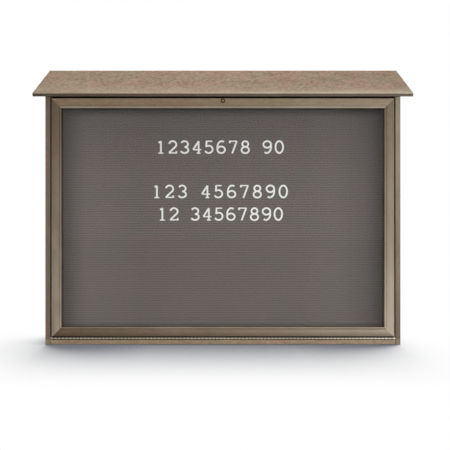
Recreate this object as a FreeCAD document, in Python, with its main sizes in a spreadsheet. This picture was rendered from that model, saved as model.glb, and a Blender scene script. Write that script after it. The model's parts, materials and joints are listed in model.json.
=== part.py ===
import FreeCAD, Part

import os
import re

import Sketcher

# A lockable outdoor notice board, built from recycled-plastic boards: a shallow case under
# a sloping roof board, closed in front by a glazed door. The door hangs on a continuous
# hinge along its lower edge and drops forward. A small cam lock at the middle of its top
# rail holds it shut. Inside is a grooved letter board.
#
# Millimetres. X runs to the right, Y runs to the back, Z runs up. The origin lies at the
# middle of the footprint, on the surface that the case stands on.

Vector = FreeCAD.Vector
Rotation = FreeCAD.Rotation

document = FreeCAD.newDocument("notice_board")
sizes = document.addObject("Spreadsheet::Sheet", "Sizes")
places = document.addObject("Spreadsheet::Sheet", "Places")


# Driving dimensions, which fill the sheet of sizes

SIZES = {
    # Roof and case
    "roof_width": 1321,  # roof board, end to end
    "overall_depth": 200,  # roof front arris to the wall
    "roof_thickness": 12,  # roof board
    "roof_pitch": 33.5,  # slope of the roof, degrees
    "roof_arris": 1.5,  # rounding of the roof's front edge
    "side_overhang": 40,  # roof past each side of the case
    "board": 19,  # thickness of the case boards
    "board_arris": 3.5,  # rounding of the boards' front edges
    "case_setback": 15,  # case front behind the roof's front arris

    # Door
    "door_height": 832,  # door, lower edge to upper edge
    "door_thickness": 34,  # door frame, front to back
    "door_setback": 3,  # door face behind the roof's front arris
    "door_side_gap": 5,  # gap between door and case, each side
    "door_top_gap": 5,  # gap between door and roof
    "frame_width": 35,  # face of the door's stiles and rails
    "bead_width": 6,  # round bead beside the window
    "bead_radius": 3.4,  # rounding of the bead
    "bead_spring": 3.2,  # where the bead's round starts, behind the door's face
    "quirk_width": 1,  # sunk line between bead and face
    "crown": 1.4,  # rise of the frame's crowned face
    "crown_fall": 15,  # slope at which the crowned face meets the rounding, degrees
    "frame_round": 5,  # rounding of the frame's outer edge
    "rabbet_width": 10,  # window rabbet, across the frame
    "lip_depth": 12,  # frame in front of the window rabbet
    "pane_thickness": 4.8,  # clear window pane
    "pane_clearance": 1.5,  # pane to rabbet wall, all round
    "tape_thickness": 1,  # glazing tape
    "tape_inset": 1,  # glazing tape behind the window edge
    "retainer_depth": 12,  # retainer strips, front to back

    # Hinge
    "leaf_thickness": 1.5,  # hinge leaf
    "leaf_width": 28,  # hinge leaf, pin axis to edge
    "pin_diameter": 4.76,  # hinge pin
    "pin_clearance": 0.05,  # hinge bore around the pin
    "pin_setback": 5,  # pin axis behind the door's face
    "hinge_end_gap": 1.5,  # hinge end to the side panel
    "knuckle_pairs": 47,  # knuckles on each hinge leaf
    "knuckle_gap": 0.4,  # play between neighbouring knuckles
    "knuckle_relief": 0.5,  # leaf edge to the other leaf's knuckles
    "hinge_screw_inset": 18,  # hinge screws behind the pin axis

    # What the door closes on
    "stop_width": 19,  # door stops, across
    "stop_depth": 19,  # door stops, front to back
    "sill_height": 19,  # lower door stop above the bottom board
    "seal_width": 10,  # foam seal, across
    "seal_thickness": 4.7,  # foam seal, front to back
    "seal_gap": 0.3,  # foam seal to the closed door
    "header_reveal": 14,  # header above the window opening

    # Lock
    "lock_drop": 10,  # lock axis below the door's upper edge
    "lock_face_diameter": 16,  # lock collar
    "lock_collar": 1.5,  # thickness of the lock collar
    "lock_barrel_diameter": 12,  # lock barrel
    "lock_hole_clearance": 0.2,  # hole in the rail around the barrel
    "lock_plug_diameter": 9,  # turning plug of the lock
    "plug_clearance": 0.05,  # barrel bore around the plug
    "plug_recess": 0.4,  # plug behind the collar's face
    "key_slot_width": 1.4,  # key slot, across
    "key_slot_length": 6,  # key slot, along
    "key_slot_depth": 9,  # key slot, deep
    "barrel_proud": 3.5,  # lock barrel past the door's back
    "nut_across": 15,  # lock nut, across its flats
    "nut_thickness": 3,  # lock nut
    "cam_reach": 22,  # cam, axis to tip
    "cam_boss_radius": 7,  # cam around the plug
    "cam_tip_radius": 5,  # cam at its tip
    "cam_shoulder": 53.13,  # where the cam's straight sides leave its round ends, degrees
    "cam_thickness": 2.5,  # cam
    "cam_clearance": 0.5,  # cam to the back of the keeper
    "tang": 5,  # square end of the plug
    "tang_clearance": 0.05,  # square hole in the cam around the tang
    "cam_screw_diameter": 8,  # hexagon head that holds the cam, across its corners
    "cam_screw_height": 2.5,  # height of that head
    "keeper_thickness": 2.5,  # keeper plate
    "keeper_lap": 9,  # how far the raised cam laps the keeper
    "keeper_height": 22,  # keeper plate, up
    "keeper_half_width": 40,  # keeper plate, middle to end
    "notch_half_width": 26,  # notch in the header for the cam
    "notch_play": 5,  # notch above the raised cam

    # Back and letter board
    "rail_depth": 38,  # hanging rails, front to back
    "rail_height": 89,  # hanging rails, up
    "lower_rail_rise": 60,  # lower hanging rail above the base
    "bolt_rise": 720,  # fixing bolts, lower to upper
    "bolt_spread": 812.8,  # fixing bolts, left to right
    "bolt_hole_diameter": 11,  # holes for the fixing bolts
    "bolt_recess_diameter": 28,  # holes in the back panel around the bolts' heads
    "back_thickness": 9.5,  # back panel
    "letter_board_thickness": 12,  # letter board
    "letter_board_rise": 11,  # letter board above the door's upper edge
    "letter_board_lift": 3,  # letter board above the bottom board
    "letter_board_end_gap": 1.5,  # letter board to the side panel
    "groove_pitch": 6.35,  # letter board grooves, centre to centre
    "groove_width": 1.6,  # letter board groove
    "groove_depth": 4,  # letter board groove, deep
    "ledge_depth": 10,  # strips that hold the letter board
    "ledge_height": 15,  # strips that hold the letter board
    "cleat_width": 19,  # roof cleats, across
    "cleat_height": 38,  # roof cleats, up

    # Corner brackets
    "bracket_leg": 60,  # door corner brackets, length of a leg
    "bracket_width": 16,  # door corner brackets, width of a leg
    "bracket_thickness": 2,  # door corner brackets
    "bracket_inset": 3,  # brackets in from the door's edge
    "weep_hole_diameter": 8,  # drain holes in the bottom board
    "weep_hole_half_spread": 400,  # drain holes from the middle

    # Screws
    "head_lip": 0.3,  # rim of a screw head above its cone
    "small_head": 7.2,  # hinge and trim screws, head diameter
    "small_shank": 3.6,  # hinge and trim screws, shank diameter
    "small_length": 15,  # hinge and trim screws
    "long_head": 10,  # board screws, head diameter
    "long_shank": 5,  # board screws, shank diameter
    "long_length": 36,  # board screws
    "hinge_screw_count": 7,  # screws in each hinge leaf
    "hinge_screw_half_spread": 510,  # outer hinge screws from the middle
    "roof_screw_inset": 26,  # front roof screws behind the cleats' front ends
    "roof_screw_offset": 22,  # rear roof screws behind the cleats' side screws
}

for row, (alias, size) in enumerate(SIZES.items(), start=1):
    sizes.set(f"A{row}", alias)
    sizes.set(f"B{row}", str(size))
    sizes.setAlias(f"B{row}", alias)
document.recompute()
derived = []


# Expressions

def full(expression):
    """The expression with each alias led by its sheet's name."""
    def lead(match):
        word = match.group(0)
        if word in SIZES:
            return "Sizes." + word
        if word in derived:
            return "Places." + word
        return word
    return re.sub(r"[a-z_]\w*", lead, expression)


def value(expression):
    return float(sizes.evalExpression(full(expression)))


def derive(alias, expression):
    """A place that follows from the sizes: a formula in the sheet of places."""
    row = len(derived) + 1
    places.set(f"A{row}", alias)
    places.set(f"B{row}", "=" + full(expression).replace("Places.", ""))
    places.setAlias(f"B{row}", alias)
    places.recompute()
    derived.append(alias)


# Depths, from the front to the back
derive("front", "-overall_depth / 2")
derive("back", "overall_depth / 2")
derive("door_face", "front + door_setback")
derive("door_back", "door_face + door_thickness")
derive("case_front", "front + case_setback")
derive("pin_y", "door_face + pin_setback")
derive("stop_front", "door_back + seal_gap + seal_thickness")
derive("stop_back", "stop_front + stop_depth")
derive("rail_front", "back - rail_depth")
derive("panel_front", "rail_front - back_thickness")
derive("letter_face", "panel_front - letter_board_thickness")
derive("seat_y", "door_face + lip_depth")
derive("pane_front", "seat_y + tape_thickness")
derive("pane_back", "pane_front + pane_thickness")
derive("retainer_back", "pane_back + retainer_depth")
derive("cleat_y", "(stop_back + panel_front) / 2")

# Widths, from the middle outwards
derive("outer_half", "roof_width / 2 - side_overhang")
derive("inner_half", "outer_half - board")
derive("door_half", "inner_half - door_side_gap")
derive("window_half", "door_half - frame_width")
derive("rabbet_half", "window_half + rabbet_width")
derive("stop_half", "inner_half - stop_width")
derive("letter_half", "inner_half - letter_board_end_gap")
derive("hinge_half", "inner_half - hinge_end_gap")

# Heights, from the base up
derive("knuckle_radius", "pin_diameter / 2 + pin_clearance + leaf_thickness")
derive("pin_z", "board + knuckle_radius")
derive("door_low", "board + 2 * knuckle_radius")
derive("door_high", "door_low + door_height")
derive("window_low", "door_low + frame_width")
derive("window_high", "door_high - frame_width")
derive("rabbet_low", "window_low - rabbet_width")
derive("rabbet_high", "window_high + rabbet_width")
derive("sill_high", "board + sill_height")
derive("header_low", "window_high + header_reveal")
derive("lock_z", "door_high - lock_drop")
derive("cam_high", "lock_z + cam_reach")
derive("keeper_low", "cam_high - keeper_lap")
derive("keeper_high", "keeper_low + keeper_height")
derive("notch_high", "cam_high + notch_play")
derive("letter_low", "board + letter_board_lift")
derive("letter_high", "door_high + letter_board_rise")
derive("upper_rail_low", "lower_rail_rise + bolt_rise")
derive("lower_bolt", "lower_rail_rise + rail_height / 2")
derive("upper_bolt", "lower_bolt + bolt_rise")
derive("roof_nose_y", "front - roof_arris * (cos(roof_pitch) + sin(roof_pitch) - 1)")
derive("roof_edge_y", "roof_nose_y + roof_thickness * sin(roof_pitch)")
derive("roof_edge_z", "door_high + door_top_gap")

# How far a cutter reaches past what it cuts
derive("beyond", "board")

# The door's moulded section, from the window outwards
derive("face_start", "bead_width + quirk_width")
derive("face_end", "frame_width - frame_round * (1 - sin(crown_fall))")
derive("half_face", "(face_end - face_start) / 2")
derive("crown_radius", "(half_face^2 + crown^2) / (2 * crown)")

# The lock, from the front to the back
derive("collar_face", "door_face - lock_collar")
derive("barrel_end", "door_back + barrel_proud")
derive("cam_front", "stop_front + cam_clearance")
derive("cam_back", "cam_front + cam_thickness")

# The knuckles and the grooves
derive("knuckle_length", "hinge_half / knuckle_pairs")
derive("groove_count", "floor((letter_high - letter_low) / groove_pitch - 1)")
derive("groove_low", "(letter_low + letter_high - (groove_count - 1) * groove_pitch) / 2")
document.recompute()


def under_roof(y):
    """Height of the roof's underside at depth y."""
    return f"(roof_edge_z + (({y}) - roof_edge_y) * tan(roof_pitch))"


def over_roof(y):
    """Height of the roof's upper face at depth y."""
    return f"({under_roof(y)} + roof_thickness / cos(roof_pitch))"


# How the pieces are made

pieces = []


def keep(label, item):
    """Name an object as one of the pieces."""
    item.Label = label
    pieces.append(item)
    return item


def origin_feature(body, role):
    for feature in body.Origin.OriginFeatures:
        if feature.Role == role:
            return feature
    raise ValueError(role)


def arc_between(first, last, radius, side):
    """The shorter arc from first to last, which bulges to the right where side is 1."""
    chord = last - first
    height = max(radius ** 2 - (chord.Length / 2) ** 2, 0) ** 0.5
    outwards = Vector(chord.y, -chord.x, 0).normalize() * side
    middle = (first + last) / 2 + outwards * (radius - height)
    return Part.Arc(first, middle, last)


def fix_point(sketch, geometry, point, corner):
    """Tie one end of a line or arc to the pair of expressions that places it."""
    for kind, expression in zip(("DistanceX", "DistanceY"), corner):
        rule = Sketcher.Constraint(kind, -1, 1, geometry, point, value(expression))
        index = sketch.addConstraint(rule)
        sketch.setExpression(f"Constraints[{index}]", full(expression))


def add_loop(sketch, corners, arcs):
    """A closed loop through corners; arcs gives (radius, side) for the sides that are round."""
    points = [Vector(value(x), value(y), 0) for x, y in corners]
    start_of = []
    end_of = []
    for index, first in enumerate(points):
        last = points[(index + 1) % len(points)]
        if index in arcs:
            radius, side = arcs[index]
            curve = arc_between(first, last, value(radius), side)
        else:
            curve = Part.LineSegment(first, last)
        geometry = sketch.addGeometry(curve)
        starts_here = sketch.getPoint(geometry, 1).distanceToPoint(first) < 1e-6
        start_of.append((geometry, 1 if starts_here else 2))
        end_of.append((geometry, 2 if starts_here else 1))
        if index in arcs:
            rule = Sketcher.Constraint("Radius", geometry, value(radius))
            rule_index = sketch.addConstraint(rule)
            sketch.setExpression(f"Constraints[{rule_index}]", full(radius))
    for index, corner in enumerate(corners):
        following = start_of[(index + 1) % len(corners)]
        sketch.addConstraint(Sketcher.Constraint("Coincident", *end_of[index], *following))
        fix_point(sketch, *start_of[index], corner)


def plane_offset(role, low, length, far):
    """Where a sketch plane goes, along its own normal, for a solid from low to low + length."""
    if role == "XZ_Plane":
        return f"-({low})" if far else f"-({low}) - ({length})"
    return f"({low}) + ({length})" if far else f"({low})"


def add_sketch(body, role, offset):
    sketch = body.newObject("Sketcher::SketchObject", "Outline")
    sketch.AttachmentSupport = (origin_feature(body, role), [""])
    sketch.MapMode = "FlatFace"
    sketch.setExpression(".AttachmentOffset.Base.z", full(offset))
    return sketch


def pad(body, role, low, length, corners, arcs=None, holes=()):
    """A solid of the outline, from low along the length; the outline runs anticlockwise."""
    sketch = add_sketch(body, role, plane_offset(role, low, length, far=False))
    add_loop(sketch, corners, arcs or {})
    for hole in holes:
        add_loop(sketch, hole, {})
    feature = body.newObject("PartDesign::Pad", "Solid")
    feature.Profile = sketch
    feature.setExpression("Length", full(length))
    return feature


def take_away(body, feature_type, sketch):
    """A pocket of the sketch, checked to have cut something."""
    document.recompute()
    before = body.Shape.Volume
    feature = body.newObject(feature_type, "Cut")
    feature.Profile = sketch
    return feature, before


def check_cut(body, before):
    document.recompute()
    if body.Shape.Volume > before - 1e-3:
        raise RuntimeError("a cut in " + body.Name + " takes nothing away")


def pocket(body, role, low, length, corners, arcs=None):
    sketch = add_sketch(body, role, plane_offset(role, low, length, far=True))
    add_loop(sketch, corners, arcs or {})
    feature, before = take_away(body, "PartDesign::Pocket", sketch)
    feature.setExpression("Length", full(length))
    check_cut(body, before)
    return feature


def round_pocket(body, role, low, length, centres, radius):
    sketch = add_sketch(body, role, plane_offset(role, low, length, far=True))
    for centre in centres:
        middle = Vector(value(centre[0]), value(centre[1]), 0)
        circle = sketch.addGeometry(Part.Circle(middle, Vector(0, 0, 1), value(radius)))
        rule = Sketcher.Constraint("Radius", circle, value(radius))
        rule_index = sketch.addConstraint(rule)
        sketch.setExpression(f"Constraints[{rule_index}]", full(radius))
        fix_point(sketch, circle, 3, centre)
    feature, before = take_away(body, "PartDesign::Pocket", sketch)
    feature.setExpression("Length", full(length))
    check_cut(body, before)
    return feature


def new_body(name):
    return document.addObject("PartDesign::Body", name)


def row_of(body, originals, role, spacing, count):
    """Repeat features along an axis of the body."""
    pattern = body.newObject("PartDesign::LinearPattern", "Row")
    pattern.Originals = originals
    pattern.Direction = (origin_feature(body, role), [""])
    pattern.setExpression("Length", full(f"({spacing}) * ({count} - 1)"))
    pattern.setExpression("Occurrences", full(count))
    body.Tip = pattern
    return pattern


def block(label, x, y, z):
    """A square-cut strip or board between pairs of faces."""
    item = document.addObject("Part::Box", label)
    for side, axis, (low, high) in (("Length", "x", x), ("Width", "y", y), ("Height", "z", z)):
        item.setExpression(side, full(f"({high}) - ({low})"))
        item.setExpression(f".Placement.Base.{axis}", full(low))
    return item


def rod(label, radius, length, base, turn):
    """A plain round bar, from base in the direction that turn gives to its own axis."""
    item = document.addObject("Part::Cylinder", label)
    item.setExpression("Radius", full(radius))
    item.setExpression("Height", full(length))
    place(item, base, turn)
    return item


def place(item, base, turn):
    item.Placement = FreeCAD.Placement(Vector(0, 0, 0), turn)
    for axis, expression in zip("xyz", base):
        item.setExpression(f".Placement.Base.{axis}", full(expression))


def cut(label, base, tool):
    item = document.addObject("Part::Cut", label)
    item.Base = base
    item.Tool = tool
    return item


def join(label, items):
    item = document.addObject("Part::Compound", label)
    item.Links = items
    return item


def rectangle(x, y):
    """Corners of a rectangle, anticlockwise, from its low and high sides."""
    return [(x[0], y[0]), (x[1], y[0]), (x[1], y[1]), (x[0], y[1])]


UP = Rotation()
DOWN = Rotation(Vector(1, 0, 0), 180)
BACKWARDS = Rotation(Vector(1, 0, 0), -90)
FORWARDS = Rotation(Vector(1, 0, 0), 90)
RIGHT = Rotation(Vector(0, 1, 0), 90)
LEFT = Rotation(Vector(0, 1, 0), -90)


# The roof: one board, square-cut in front and cut plumb at the wall

def make_roof():
    body = new_body("roof_board")
    edge_top = "(roof_edge_z + roof_thickness * cos(roof_pitch))"
    along_y = "roof_arris * cos(roof_pitch)"
    along_z = "roof_arris * sin(roof_pitch)"
    corners = [
        (f"roof_edge_y + {along_y}", f"roof_edge_z + {along_z}"),
        ("back", under_roof("back")),
        ("back", over_roof("back")),
        (f"roof_nose_y + {along_y}", f"{edge_top} + {along_z}"),
        (f"roof_nose_y + {along_z}", f"{edge_top} - {along_y}"),
        (f"roof_edge_y - {along_z}", f"roof_edge_z + {along_y}"),
    ]
    arcs = {3: ("roof_arris", 1), 5: ("roof_arris", 1)}
    pad(body, "YZ_Plane", "-roof_width / 2", "roof_width", corners, arcs)
    keep("roof_board", body)


# The case: two sides, a bottom, and a back on two hanging rails

def make_side_panel(label, sign):
    """A side panel with eased front edges, its upper end cut to the roof's slope."""
    body = new_body(label)
    low, high = ("inner_half", "outer_half") if sign > 0 else ("-outer_half", "-inner_half")
    corners = [
        (f"{low} + board_arris", "case_front"),
        (f"{high} - board_arris", "case_front"),
        (high, "case_front + board_arris"),
        (high, "back"),
        (low, "back"),
        (low, "case_front + board_arris"),
    ]
    arcs = {1: ("board_arris", 1), 5: ("board_arris", 1)}
    pad(body, "XY_Plane", "0", under_roof("back"), corners, arcs)
    above = [
        ("case_front - beyond", under_roof("case_front - beyond")),
        ("back + beyond", under_roof("back + beyond")),
        ("case_front - beyond", under_roof("back + beyond")),
    ]
    pocket(body, "YZ_Plane", low, "board", above)
    keep(label, body)


def make_bottom_board():
    body = new_body("bottom_board")
    corners = [
        ("case_front + board_arris", "0"),
        ("back", "0"),
        ("back", "board"),
        ("case_front + board_arris", "board"),
        ("case_front", "board - board_arris"),
        ("case_front", "board_arris"),
    ]
    arcs = {3: ("board_arris", 1), 5: ("board_arris", 1)}
    pad(body, "YZ_Plane", "-inner_half", "2 * inner_half", corners, arcs)
    drain_y = "(stop_back + letter_face) / 2"
    centres = [(x, drain_y) for x in ("-weep_hole_half_spread", "weep_hole_half_spread")]
    round_pocket(body, "XY_Plane", "0", "board", centres, "weep_hole_diameter / 2")
    keep("bottom_board", body)


def make_bolt_holes(radius):
    """Round cutters, front to back, at the places of the four fixing bolts."""
    cutters = []
    for x in ("-bolt_spread / 2", "bolt_spread / 2"):
        for z in ("lower_bolt", "upper_bolt"):
            base = (x, "panel_front - beyond", z)
            cutters.append(rod("bolt_hole", radius, "overall_depth", base, BACKWARDS))
    return join("bolt_holes", cutters)


def make_back():
    """The bolts' heads bear on the rails, sunk in the panel, so the letter board lies flat."""
    holes = make_bolt_holes("bolt_hole_diameter / 2")
    for label, low in (("hanging_rail_lower", "lower_rail_rise"), ("hanging_rail_upper", "upper_rail_low")):
        height = (low, f"{low} + rail_height")
        rail = block(label + "_blank", ("-inner_half", "inner_half"), ("rail_front", "back"), height)
        keep(label, cut(label, rail, holes))
    body = new_body("back_panel_blank")
    corners = [
        ("panel_front", "board"),
        ("rail_front", "board"),
        ("rail_front", under_roof("rail_front")),
        ("panel_front", under_roof("panel_front")),
    ]
    pad(body, "YZ_Plane", "-inner_half", "2 * inner_half", corners)
    keep("back_panel", cut("back_panel", body, make_bolt_holes("bolt_recess_diameter / 2")))


def make_roof_cleat(label, sign):
    """A batten in the corner of side panel and roof, parallel to the roof."""
    body = new_body(label)
    low = "inner_half - cleat_width" if sign > 0 else "-inner_half"
    corners = [
        ("stop_back", under_roof("stop_back") + " - cleat_height"),
        ("panel_front", under_roof("panel_front") + " - cleat_height"),
        ("panel_front", under_roof("panel_front")),
        ("stop_back", under_roof("stop_back")),
    ]
    pad(body, "YZ_Plane", low, "cleat_width", corners)
    keep(label, body)


# What the door closes on: stops at the sides and below, a header above, foam seals

def make_side_stop(label, sign):
    body = new_body(label)
    low = "stop_half" if sign > 0 else "-inner_half"
    corners = [
        ("stop_front", "sill_high"),
        ("stop_back", "sill_high"),
        ("stop_back", under_roof("stop_back")),
        ("stop_front", under_roof("stop_front")),
    ]
    pad(body, "YZ_Plane", low, "stop_width", corners)
    keep(label, body)


def make_header():
    """The rail behind the door's upper edge, notched in the middle for the lock's cam."""
    body = new_body("header_rail")
    corners = [
        ("stop_front", "header_low"),
        ("stop_back", "header_low"),
        ("stop_back", under_roof("stop_back")),
        ("stop_front", under_roof("stop_front")),
    ]
    pad(body, "YZ_Plane", "-stop_half", "2 * stop_half", corners)
    notch = rectangle(("-notch_half_width", "notch_half_width"), ("header_low - beyond", "notch_high"))
    pocket(body, "XZ_Plane", "stop_front", "stop_depth", notch)
    keep("header_rail", body)


def make_seals():
    depth = ("stop_front - seal_thickness", "stop_front")
    upright = ("sill_high", "header_low")
    inner = ("stop_half", "stop_half + seal_width")
    keep("seal_right", block("seal_right", inner, depth, upright))
    mirrored = ("-stop_half - seal_width", "-stop_half")
    keep("seal_left", block("seal_left", mirrored, depth, upright))
    low = ("sill_high - seal_width", "sill_high")
    keep("seal_bottom", block("seal_bottom", ("-stop_half", "stop_half"), depth, low))
    high = ("header_low", "header_low + seal_width")
    keep("seal_top_right", block("seal_top_right", ("notch_half_width", "stop_half"), depth, high))
    keep("seal_top_left", block("seal_top_left", ("-stop_half", "-notch_half_width"), depth, high))


def make_stops():
    make_side_stop("door_stop_left", -1)
    make_side_stop("door_stop_right", 1)
    depth = ("stop_front", "stop_back")
    keep("sill_strip", block("sill_strip", ("-inner_half", "inner_half"), depth, ("board", "sill_high")))
    make_header()
    make_seals()


# The letter board: felt-faced, with level grooves that the characters press into

def make_letter_board():
    body = new_body("letter_board")
    face = rectangle(("letter_face", "panel_front"), ("letter_low", "letter_high"))
    pad(body, "YZ_Plane", "-letter_half", "2 * letter_half", face)
    groove = rectangle(
        ("letter_face - groove_depth", "letter_face + groove_depth"),
        ("groove_low - groove_width / 2", "groove_low + groove_width / 2"),
    )
    first = pocket(body, "YZ_Plane", "-letter_half", "2 * letter_half", groove)
    row_of(body, [first], "Z_Axis", "groove_pitch", "groove_count")
    keep("letter_board", body)
    depth = ("letter_face - ledge_depth", "letter_face")
    width = ("-inner_half", "inner_half")
    lower = ("board", "board + ledge_height")
    upper = ("letter_high - ledge_height", "letter_high")
    keep("letter_ledge_lower", block("letter_ledge_lower", width, depth, lower))
    keep("letter_ledge_upper", block("letter_ledge_upper", width, depth, upper))


# The door: four mitred lengths of one moulded section

def frame_section(across, through):
    """Corners of the moulded section; across and through turn its two distances into places.

    The first distance runs from the window outwards, the second from the face backwards.
    """
    section = [
        ("0", "bead_spring"),
        ("0", "lip_depth"),
        ("rabbet_width", "lip_depth"),
        ("rabbet_width", "door_thickness"),
        ("frame_width", "door_thickness"),
        ("frame_width", "crown + frame_round * cos(crown_fall)"),
        ("face_end", "crown"),
        ("face_start", "crown"),
        ("bead_width", "bead_spring"),
    ]
    return [(across(a), through(b)) for a, b in section]


def section_arcs(side):
    """The round sides of the section, numbered by the corner that each starts from."""
    outer_edge = 5
    crowned_face = 6
    bead = 8
    return {
        outer_edge: ("frame_round", side),
        crowned_face: ("crown_radius", side),
        bead: ("bead_radius", side),
    }


def make_stile(label, sign):
    """An upright of the door; both ends are mitred to the rails."""
    body = new_body(label + "_blank")
    lead = "" if sign > 0 else "-"

    def across(distance):
        return f"{lead}(window_half + {distance})"

    def through(distance):
        return f"door_face + {distance}"

    section = frame_section(across, through)
    pad(body, "XY_Plane", "door_low", "door_height", section, section_arcs(-sign))
    inner = f"{lead}(window_half - beyond)"
    outer = f"{lead}door_half"
    upper = [
        (outer, "door_high"),
        (inner, "door_high"),
        (inner, "window_high - beyond"),
    ]
    lower = [
        (outer, "door_low"),
        (inner, "window_low + beyond"),
        (inner, "door_low"),
    ]
    pocket(body, "XZ_Plane", "door_face - beyond", "door_thickness + 2 * beyond", upper)
    pocket(body, "XZ_Plane", "door_face - beyond", "door_thickness + 2 * beyond", lower)
    return body


def make_rail(label, sign):
    """The upper or lower length of the door's frame; both ends are mitred to the stiles."""
    body = new_body(label + "_blank")
    window_edge, outer_edge = ("window_high", "door_high") if sign > 0 else ("window_low", "door_low")
    lead = "+" if sign > 0 else "-"

    def across(distance):
        return f"door_face + {distance}"

    def through(distance):
        return f"{window_edge} {lead} ({distance})"

    section = [(y, z) for z, y in frame_section(through, across)]
    pad(body, "YZ_Plane", "-door_half", "2 * door_half", section, section_arcs(sign))
    inner_edge = f"{window_edge} {'-' if sign > 0 else '+'} beyond"
    for side in ("", "-"):
        end = [
            (f"{side}door_half", outer_edge),
            (f"{side}door_half", inner_edge),
            (f"{side}(window_half - beyond)", inner_edge),
        ]
        pocket(body, "XZ_Plane", "door_face - beyond", "door_thickness + 2 * beyond", end)
    return body


def make_bracket(label, sign_x, sign_z):
    """A flat corner bracket, let into the back of a mitred corner."""
    body = new_body(label)
    lead = "" if sign_x > 0 else "-"
    edge, step = ("door_high", "-") if sign_z > 0 else ("door_low", "+")

    def corner(in_x, in_z):
        return (f"{lead}(door_half - bracket_inset - {in_x})", f"{edge} {step} (bracket_inset + {in_z})")

    outline = [
        corner("0", "0"),
        corner("0", "bracket_leg"),
        corner("bracket_width", "bracket_leg"),
        corner("bracket_width", "bracket_width"),
        corner("bracket_leg", "bracket_width"),
        corner("bracket_leg", "0"),
    ]
    pad(body, "XZ_Plane", "door_back - bracket_thickness", "bracket_thickness", outline)
    return keep(label, body)


def make_frame():
    top = make_rail("rail_top", 1)
    bore = "lock_barrel_diameter / 2 + lock_hole_clearance"
    round_pocket(
        top, "XZ_Plane", "door_face - beyond", "door_thickness + 2 * beyond", [("0", "lock_z")], bore
    )
    members = {
        "stile_left": make_stile("stile_left", -1),
        "stile_right": make_stile("stile_right", 1),
        "rail_top": top,
        "rail_bottom": make_rail("rail_bottom", -1),
    }
    brackets = join("bracket_seats", [
        make_bracket("corner_bracket_top_left", -1, 1),
        make_bracket("corner_bracket_top_right", 1, 1),
        make_bracket("corner_bracket_bottom_left", -1, -1),
        make_bracket("corner_bracket_bottom_right", 1, -1),
    ])
    for label, blank in members.items():
        keep(label, cut(label, blank, brackets))


def make_glazing():
    """The pane on its tape, held from behind by four retainer strips."""
    pane_half = "(rabbet_half - pane_clearance)"
    pane_low = "(rabbet_low + pane_clearance)"
    pane_high = "(rabbet_high - pane_clearance)"
    width = (f"-{pane_half}", pane_half)
    height = (pane_low, pane_high)
    keep("window_pane", block("window_pane", width, ("pane_front", "pane_back"), height))
    tape = block("tape_outside", width, ("seat_y", "pane_front"), height)
    inside = block(
        "tape_inside",
        ("-window_half - tape_inset", "window_half + tape_inset"),
        ("seat_y - beyond", "pane_front + beyond"),
        ("window_low - tape_inset", "window_high + tape_inset"),
    )
    keep("glazing_tape", cut("glazing_tape", tape, inside))
    depth = ("pane_back", "retainer_back")
    upright = ("rabbet_low", "rabbet_high")
    across = ("-window_half", "window_half")
    keep("retainer_right", block("retainer_right", ("window_half", "rabbet_half"), depth, upright))
    keep("retainer_left", block("retainer_left", ("-rabbet_half", "-window_half"), depth, upright))
    keep("retainer_top", block("retainer_top", across, depth, ("window_high", "rabbet_high")))
    keep("retainer_bottom", block("retainer_bottom", across, depth, ("rabbet_low", "window_low")))


# The continuous hinge: two leaves whose knuckles alternate along one pin

KNUCKLE_SIDES = 8
BORE_SIDES = 4


def make_leaf(label, sign, first_knuckle):
    """A hinge leaf: below the pin on the case where sign is 1, above it on the door where -1.

    A knuckle's outline starts on the leaf and runs round the pin to the leaf's outer face.
    """
    body = new_body(label)
    lead = "-" if sign > 0 else "+"

    def height(above_face):
        return f"pin_z {lead} (knuckle_radius - ({above_face}))"

    plate_start = "pin_y + knuckle_radius + knuckle_relief"
    plate = rectangle((plate_start, "pin_y + leaf_width"), (height("0"), height("leaf_thickness")))
    pad(body, "YZ_Plane", "-hinge_half", "2 * hinge_half", plate)
    outline = [(plate_start, height("0")), (plate_start, height("leaf_thickness"))]
    for turn in range(KNUCKLE_SIDES * 3 // 4 + 2):
        angle = (turn - 1) * 360 / KNUCKLE_SIDES
        up = f"knuckle_radius * sin({angle}) * {sign}"
        outline.append((f"pin_y + knuckle_radius * cos({angle})", f"pin_z + {up}"))
    hole = []
    for turn in range(BORE_SIDES):
        angle = (turn + 0.5) * 360 / BORE_SIDES
        reach = f"(pin_diameter / 2 + pin_clearance) / cos({180 / BORE_SIDES})"
        hole.append((f"pin_y + {reach} * cos({angle})", f"pin_z + {reach} * sin({angle})"))
    start = f"-hinge_half + knuckle_length * {first_knuckle} + knuckle_gap / 2"
    knuckle = pad(body, "YZ_Plane", start, "knuckle_length - knuckle_gap", outline, holes=[hole])
    row_of(body, [knuckle], "X_Axis", "2 * knuckle_length", "knuckle_pairs")
    keep(label, body)


def make_hinge():
    make_leaf("hinge_leaf_case", 1, 0)
    make_leaf("hinge_leaf_door", -1, 1)
    pin = rod("hinge_pin", "pin_diameter / 2", "2 * hinge_half", ("-hinge_half", "pin_y", "pin_z"), RIGHT)
    keep("hinge_pin", pin)


# The cam lock

def at_lock(body):
    """Put a piece that is drawn about the lock's axis at the lock's height."""
    body.setExpression(".Placement.Base.z", full("lock_z"))
    return body


def revolve(body, corners):
    """A turned solid about the Y axis, from corners of (radius, depth)."""
    sketch = add_sketch(body, "XY_Plane", "0")
    add_loop(sketch, corners, {})
    feature = body.newObject("PartDesign::Revolution", "Turned")
    feature.Profile = sketch
    feature.ReferenceAxis = (origin_feature(body, "Y_Axis"), [""])
    feature.Angle = 360
    return feature


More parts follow.
